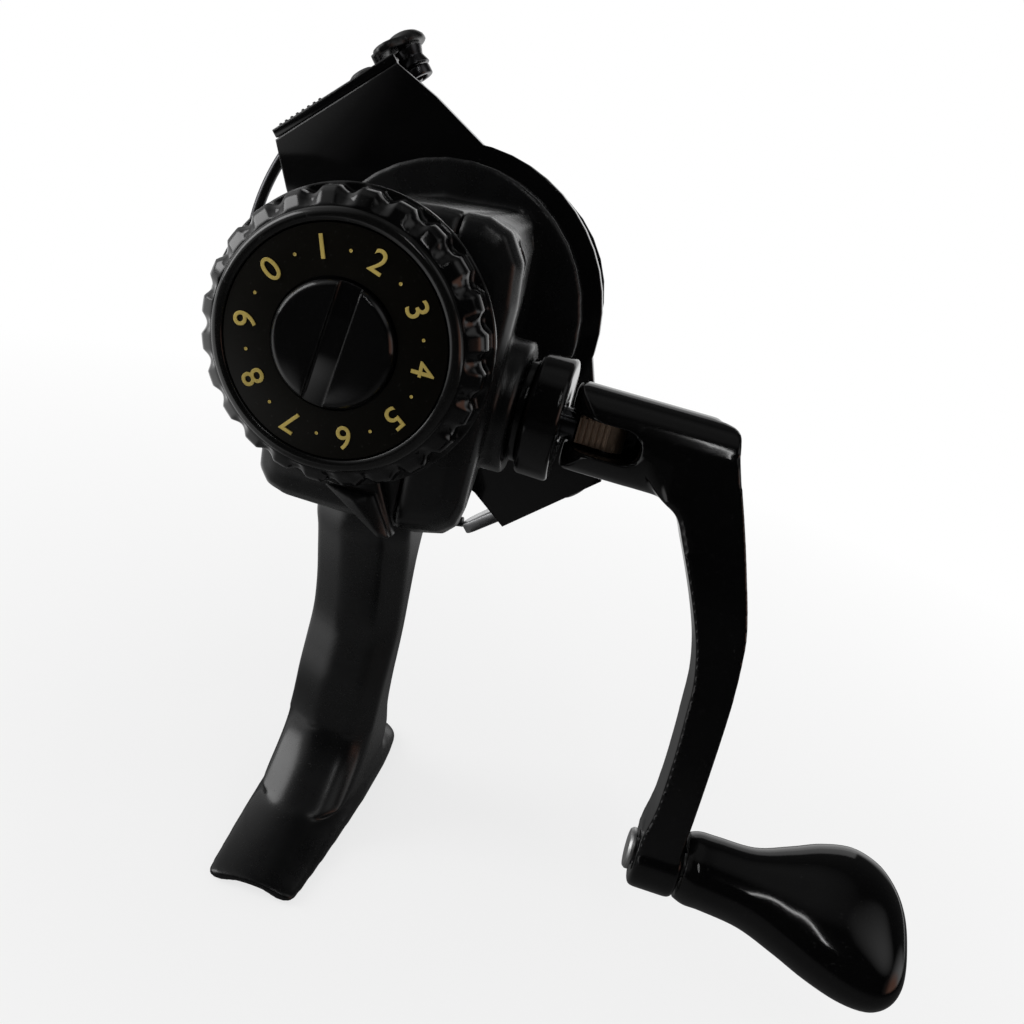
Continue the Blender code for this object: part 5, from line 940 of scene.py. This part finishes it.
def wire_route():
    """Points of the bail's wire in the bail's frame, from the roller's boss to the far lever."""
    middle = 0.03845                        # of the roller's boss, above the main axis
    near_reach, side_reach, far_drop = 0.0435, 0.0458, 0.0386
    far_end = math.radians(152.5)           # where the far lever stands
    points = [(0.0080, 0.0040, middle), (0.0067, 0.0063, middle), (0.0040, 0.0078, middle + 0.0010)]
    start = math.radians(6)
    last = far_end - 0.0024 / near_reach
    for index in range(22):
        angle = start + (last - start) * index / 21
        reach = near_reach if angle < math.pi / 2 else -far_drop / math.cos(far_end)
        across = side_reach * math.sin(angle)
        lift = 0.0078 * max(0, 1 - angle / math.radians(48)) ** 2
        points.append((-across, 0.0006 + lift + across * math.tan(math.radians(2.5)), reach * math.cos(angle)))
    return points


class REEL_OT_bail(bpy.types.Operator):
    """Makes the bail arm, its wire, its roller and its far lever"""
    bl_idname = "reel.bail"
    bl_label = "Bail"

    def execute(self, context):
        arm = cast([cad_copy("bail_arm")], 0.00026, 22)
        place_piece("bail_arm_piece", arm, "satin_black", "bail", ("bail_arm",), None)
        dress("bail_lever", "steel", 0.0003)
        wire = along_path(wire_route(), context.scene.reel_sizes.wire, "dark_steel")
        boss = cylinder(0.0026, 0.0376, 0.0393, Matrix.Translation((0.0080, 0.0040, 0)), "Z", 48, 0.0015, 0.0003, 3)
        wire = merged([wire, boss])
        wire.transform(BAIL_FRAME)
        place_piece("bail_wire_piece", wire, "dark_steel", "bail", ("bail_wire",), 50)
        dress("line_roller", "dark_steel", 0.0002)
        dress("bail_pivot_screw", "gloss_black", 0.0001)
        dress("bail_lever_screw", "steel", 0.0001)
        return {"FINISHED"}


class REEL_OT_spool(bpy.types.Operator):
    """Makes the skirted spool and its push button"""
    bl_idname = "reel.spool"
    bl_label = "Spool and button"

    def execute(self, context):
        dress("spool", "gloss_black", 0.0002)
        dress("spool_button", "satin_black", 0.0002)
        return {"FINISHED"}


# Crank arm's outline: shares of its outer face along the crank axis, and of its length down the arm
ARM_ROWS = [
    (0.755, -0.103), (0.825, -0.095), (0.841, -0.040), (0.860, 0.020), (0.893, 0.111), (0.925, 0.205),
    (0.969, 0.347), (0.983, 0.435), (0.991, 0.560), (0.992, 0.740), (0.989, 0.900), (0.979, 0.975),
    (0.893, 0.975), (0.902, 0.850), (0.903, 0.720), (0.898, 0.600), (0.893, 0.520), (0.876, 0.440),
    (0.850, 0.365), (0.816, 0.285), (0.776, 0.200), (0.745, 0.140), (0.699, 0.112), (0.656, 0.060),
    (0.656, -0.060)]
# Grip: place along it, sideways lean, width, thickness
GRIP_ROWS = [
    (0.000, 0.00, 0.40, 0.84), (0.050, 0.00, 0.45, 0.90), (0.130, 0.00, 0.46, 0.88), (0.300, 0.02, 0.50, 0.88),
    (0.460, 0.02, 0.68, 0.94), (0.600, 0.02, 0.86, 1.00), (0.740, 0.04, 0.97, 1.00), (0.860, 0.10, 0.93, 0.92),
    (0.940, 0.16, 0.76, 0.74), (0.985, 0.20, 0.52, 0.50), (1.000, 0.22, 0.26, 0.22)]


def crank_arm():
    """The slotted sleeve, the tapering arm with its elbow and the boss at its tip, melted into one moulding."""
    depth = 0.0066          # of the blank that the arm is cut from, to each side
    tip_radius = 0.00455
    slot_half, slot_floor = 0.0023, 0.0026
    sleeve = cylinder(SLEEVE_RADIUS, SLEEVE_START, 0.0457, CRANK_FRAME, "X", 96, soft=0.0012, count=6)
    outline = [(across * ARM_END, -down * CRANK_LENGTH) for across, down in ARM_ROWS]
    outline = [(point.x, point.y) for point in curved(outline, 4, True)]
    blank = prism(outline, -depth, depth, ARM_FRAME @ spin(90, "X"))
    side = []               # the arm's shape seen along the crank axis
    for radius, first, down in ((SLEEVE_RADIUS, 0, 0), (tip_radius, math.pi, CRANK_LENGTH)):
        for index in range(25):
            angle = first + math.pi * index / 24
            side.append((radius * math.cos(angle), radius * math.sin(angle) - down))
    facing = ARM_FRAME @ Matrix(((0, 0, 1, 0), (1, 0, 0, 0), (0, 1, 0, 0), (0, 0, 0, 1)))
    arm = carved(blank, [prism(side, SLEEVE_START, 0.0600, facing)], "INTERSECT")
    tip = cylinder(0.0048, 0.0514, ARM_END, TIP_FRAME, "X", 96, soft=0.0009, count=5)
    slot = slab((0.0250, -depth, -slot_half), (0.0345, slot_floor, slot_half), CRANK_FRAME)
    slot_end = cylinder(slot_half, -depth, slot_floor, CRANK_FRAME @ Matrix.Translation((0.0339, 0, 0)), "Y", 48)
    relief = slab((SLEEVE_START, -0.0122, -0.0088), (0.0409, COLLAR_END + RUNNING_GAP - FOLD_PLACE, 0.0088),
                  CRANK_FRAME)
    fold = CRANK_FRAME @ Matrix.Translation((FOLD_PLACE, 0, 0))
    block = slab((-0.0200, -0.0200, -0.0150), (0.0, 0.0, 0.0150), fold)
    block = carved(block, [cylinder(0.0058, -0.02, 0.02, fold, "Z", 96)])
    pin = cylinder(0.0019, 0.0510, 0.0600, TIP_FRAME, "X", 32)
    parts = [carved(sleeve, [slot, slot_end, block, relief]),
             carved(arm, [slot, slot_end, block, relief, pin]), carved(tip, [pin])]
    elbow = (0.0355, -0.0225, 0.0660), (0.0500, 0.0000, 0.0800)
    return blended(cast(parts, 0.00020, 26), *elbow, 40)


def grip():
    """The flat pear-shaped grip, a smooth skin through rounded sections."""
    start, reach, half_thick, half_wide = 0.0581, 0.0310, 0.0052, 0.0108
    rings = []
    lanes = [curved(list(enumerate(column)), 6) for column in zip(*GRIP_ROWS)]
    for along, middle, wide, thick in zip(*lanes):
        ring = []
        for index in range(72):
            angle = math.tau * index / 72
            across, up = (math.copysign(abs(side) ** 0.85, side) for side in (math.cos(angle), math.sin(angle)))
            ring.append((start + along.y * reach, half_thick * thick.y * up,
                         half_wide * (wide.y * across - middle.y)))
        rings.append(ring)
    return skin(rings, GRIP_FRAME)


class REEL_OT_crank(bpy.types.Operator):
    """Makes the collars, the ribbed folding stud, the crank arm and the grip"""
    bl_idname = "reel.crank"
    bl_label = "Crank and grip"

    def execute(self, context):
        bore = 0.0024
        collar = cylinder(0.0085, COLLAR_END, 0.0207, CRANK_FRAME, "X", 128, bore, 0.00075, 6)
        place_piece("lock_collar_piece", collar, "gloss_black", "collar", ("lock_collar",))
        low, high = span("neck_ring", CRANK_FRAME)
        neck = cylinder(0.0071, high.x, low.x, CRANK_FRAME, "X", 128, bore, 0.00016, 3)
        place_piece("neck_ring_piece", neck, "gloss_black", "crank_shaft", ("neck_ring",))
        place_piece("crank_arm_piece", crank_arm(), "cast_gloss", "crank", ("crank_arm",), None)
        place_piece("grip_piece", grip(), "gloss_black", "paddle", ("grip",), 60)
        stud = cad_copy("fold_stud")
        # The stud's neck is dark steel, and its darkness is partly painted shade for the gap between the collar and
        # the sleeve.
        neck = carved(stud.copy(), [slab((0.0272, -0.01, -0.01), (0.05, 0.01, 0.01), CRANK_FRAME)])
        place_piece("stud_neck_piece", neck, "dark_steel", "crank_shaft", ("fold_stud",))
        eye = carved(stud, [slab((0.0, -0.01, -0.01), (0.0275, 0.01, 0.01), CRANK_FRAME)])
        place_piece("stud_eye_piece", eased(eye, 0.00008), "copper", "crank_shaft")
        low, high = span("grip_pin", TIP_FRAME)
        pin = turned(rounded([(0, low.x), (0.00255, low.x), (0.00285, low.x + 0.0004), (0.00285, 0.0511),
                              (0.0016, 0.0511), (0.0016, high.x), (0, high.x)], 0.0001, 3), TIP_FRAME, "X", 96)
        place_piece("grip_pin_piece", pin, "grey_steel", "crank", ("grip_pin",))
        return {"FINISHED"}


def screw_shape(head, height, shank, length):
    """A crowned screw with a cross recess; its head's seat is at nought and its shank runs down."""
    body = turned(rounded([(0, height), (head * 0.75, height), (head, height * 0.45), (head, 0), (shank, 0),
                           (shank, -length), (0, -length)], 0.0001, 2), UNMOVED, "Z", 32)
    deep = height * 0.4
    arms = [slab((-head * 0.62, -head * 0.13, deep), (head * 0.62, head * 0.13, height * 2), turn)
            for turn in (UNMOVED, spin(90, "Z"))]
    mesh = carved(body, arms)
    smooth(mesh, 32)
    return mesh


class REEL_OT_screws(bpy.types.Operator):
    """Makes the screws of the housing's cover and of the rotor's cover"""
    bl_idname = "reel.screws"
    bl_label = "Screws"

    def execute(self, context):
        names = ("cover_screw_1", "cover_screw_2", "cover_screw_3")
        head_height = 0.0009
        places = []
        for name in names:
            low, high = span(name, UNMOVED)
            places.append((Vector((high.x - head_height, (low.y + high.y) / 2, (low.z + high.z) / 2)), (1, 0, 0)))
        shank_length = high.x - low.x - head_height
        screws = set_out(screw_shape(0.0016, head_height, 0.0008, shank_length), places, "grey_steel")
        place_piece("cover_screws_piece", screws, "grey_steel", "frame", names, None)
        low, high = span("arm_cover_screw", ROTOR_FRAME)
        head_height = 0.0007
        place = Vector(((low.x + high.x) / 2, (low.y + high.y) / 2, high.z - head_height))
        screw = screw_shape(0.0013, head_height, 0.0007, high.z - low.z - head_height)
        single = set_out(screw, [(place, (0, 0, 1))], "grey_steel")
        single.transform(ROTOR_FRAME)
        place_piece("arm_cover_screw_piece", single, "grey_steel", "rotor_group", ("arm_cover_screw",),
                    None)
        return {"FINISHED"}


class REEL_OT_stage(bpy.types.Operator):
    """Makes the pale floor, the soft lights and the camera"""
    bl_idname = "reel.stage"
    bl_label = "Stage"

    def execute(self, context):
        settings = context.scene.reel_stage
        scene = context.scene
        scene.view_settings.view_transform = "Standard"
        floor_gap = 0.0005      # under the foot
        shape = bmesh.new()
        bmesh.ops.create_grid(shape, x_segments=8, y_segments=8, size=4.0)
        bmesh.ops.translate(shape, vec=(0, 0, CAD_BOX[0].z - floor_gap), verts=shape.verts)
        floor = loose("floor", closed_up(shape, "floor"))
        floor.data.materials.append(self.floor_finish(settings))
        self.surroundings(scene)
        for name, place, aim, size, power in (
                ("key", (0.10, -0.34, 0.46), (0.02, 0.0, 0.07), (0.012, 0.22), 0.10),
                ("side", (-0.55, -0.12, 0.30), (0.0, 0.0, 0.06), (0.30, 0.45), 1.5),
                ("window", (0.05, 0.62, 0.40), (0.0, 0.0, 0.08), (0.60, 0.30), 0.35)):
            self.lamp(name, place, aim, size, power)
        data = bpy.data.cameras.new("camera")
        data.lens = settings.lens
        data.sensor_width = 36
        data.clip_start = 0.005
        camera = loose("camera", data)
        right = Vector((0.95345, 0.17849, 0.24301))
        up = Vector((-0.28633, 0.28337, 0.91527))
        back = Vector((0.09451, -0.94225, 0.32129))
        turn = Matrix((right, up, back)).transposed().to_4x4()
        camera.matrix_world = Matrix.Translation((0.03463, -0.14018, 0.10629)) @ turn
        scene.camera = camera
        return {"FINISHED"}

    def floor_finish(self, settings):
        """A matt pale floor, white to the camera, whose mirror image in the gloss is dark but for white zones."""
        material = bpy.data.materials.new("pale_floor")
        look = Look(material)
        place = look.spot()
        far = look.spread(look.node("ShaderNodeVectorMath", {"operation": "LENGTH"}, {0: place}, "Value"), 0.04, 0.30)
        shade = look.blend(look.noise(place, 9.0) * 0.5, tuple(settings.floor), scaled(settings.floor, 0.985))
        matt = look.node("ShaderNodeBsdfPrincipled", {}, {"Base Color": shade, "Roughness": 0.9,
                                                          "Specular IOR Level": 0.1})
        white, dim = (look.node("ShaderNodeEmission", {}, {"Color": (1, 1, 1, 1), "Strength": strength})
                      for strength in (1.0, 0.02))
        leftwards, ahead = (look.along(place, aim) for aim in ((-1, 0, 0), (0, 1, 0)))
        beside = look.spread(leftwards, 0.04, 0.10) * look.spread(ahead, -0.30, -0.20)
        zones = (look.spread(ahead, 0.10, 0.24) * 0.95 + beside).held()
        mirrored = look.mixed(zones, dim, white)
        camera, mirror = look.ray("Camera"), look.ray("Glossy")
        seen = look.mixed((camera * (far * 0.25 + 0.75)).held(), matt, white)
        look.end("ShaderNodeOutputMaterial", look.mixed((mirror * (far * 0.20 + 0.80)).held(), seen, mirrored))
        return material

    def surroundings(self, scene):
        """White to the camera; in the gloss white ahead, left and right, dark behind, with a warm patch."""
        world = bpy.data.worlds.new("surroundings")
        scene.world = world
        look = Look(world)
        camera, mirror, through = (look.ray(kind) for kind in ("Camera", "Glossy", "Transmission"))
        way = look.node("ShaderNodeTexCoord", {}, {}, "Generated")
        ahead, above, warm, left, far_side, right, high_right = (look.along(way, aim) for aim in (
            (0.16, 0.985, 0.06), (0.0, 0.0, 1.0), (0.93, -0.35, 0.10), (-0.95, 0.0, 0.30), (0.0, 1.0, 0.0),
            (0.99, -0.10, 0.0), (0.62, -0.20, 0.72)))
        ahead = look.spread(ahead, 0.80, 0.95) * (1 - look.spread(above, 0.26, 0.42))
        above = look.spread(above, 0.90, 0.98)
        warm = look.spread(warm, 0.93, 0.985)
        left = look.spread(left, 0.50, 0.90)
        far_side = look.spread(far_side, 0.0, 0.6)
        right = look.spread(right, 0.88, 0.96) + look.spread(high_right, 0.90, 0.97) * 0.6
        gleam = (ahead * 0.95 + above * 0.12 + warm * 0.20 + left * 0.55 + right * 0.95 + far_side * 0.05
                 + 0.004).held()
        seen = (camera + through).held()
        gloss_only = mirror * (1 - seen)
        plain = 1 - (seen + mirror).held()
        strength = seen + gloss_only * gleam + plain * 0.40
        shade = look.blend(warm * gloss_only, (1, 1, 1), (1.0, 0.52, 0.38))
        light = look.node("ShaderNodeBackground", {}, {"Color": shade, "Strength": strength})
        look.end("ShaderNodeOutputWorld", light)

    def lamp(self, name, place, aim, size, power):
        """A soft rectangular lamp aimed at a point."""
        data = bpy.data.lights.new(name, "AREA")
        data.shape = "RECTANGLE"
        data.size, data.size_y = size
        data.energy = power
        thing = loose(name, data)
        way = Vector(aim) - Vector(place)
        thing.rotation_mode = "QUATERNION"
        thing.rotation_quaternion = way.to_track_quat("-Z", "Y")
        thing.location = place
        thing.visible_camera = False


class REEL_PT_panel(bpy.types.Panel):
    """Lists the steps that dress the reel"""
    bl_idname = "REEL_PT_panel"
    bl_label = "Spinning reel"
    bl_space_type = "VIEW_3D"
    bl_region_type = "UI"
    bl_category = "Reel"

    def draw(self, context):
        scene = context.scene
        for group in (scene.reel_sizes, scene.reel_colours, scene.reel_stage):
            for name in group.__annotations__:
                self.layout.prop(group, name)
        for step in STEPS:
            self.layout.operator(step.bl_idname)


STEPS = (REEL_OT_inner, REEL_OT_body, REEL_OT_screws, REEL_OT_knob, REEL_OT_lever, REEL_OT_rotor, REEL_OT_bail,
         REEL_OT_spool, REEL_OT_crank, REEL_OT_stage)
CLASSES = (ReelSizes, ReelColours, StageSettings, *STEPS, REEL_PT_panel)


def register():
    for kind in CLASSES:
        bpy.utils.register_class(kind)
    bpy.types.Scene.reel_sizes = bpy.props.PointerProperty(type=ReelSizes)
    bpy.types.Scene.reel_colours = bpy.props.PointerProperty(type=ReelColours)
    bpy.types.Scene.reel_stage = bpy.props.PointerProperty(type=StageSettings)


def unregister():
    del bpy.types.Scene.reel_sizes
    del bpy.types.Scene.reel_colours
    del bpy.types.Scene.reel_stage
    for kind in reversed(CLASSES):
        bpy.utils.unregister_class(kind)


def main():
    """Make every piece."""
    register()
    bpy.ops.reel.inner()
    bpy.ops.reel.body()
    bpy.ops.reel.screws()
    bpy.ops.reel.knob()
    bpy.ops.reel.lever()
    bpy.ops.reel.rotor()
    bpy.ops.reel.bail()
    bpy.ops.reel.spool()
    bpy.ops.reel.crank()
    bpy.ops.reel.stage()


if __name__ == "__main__":
    main()
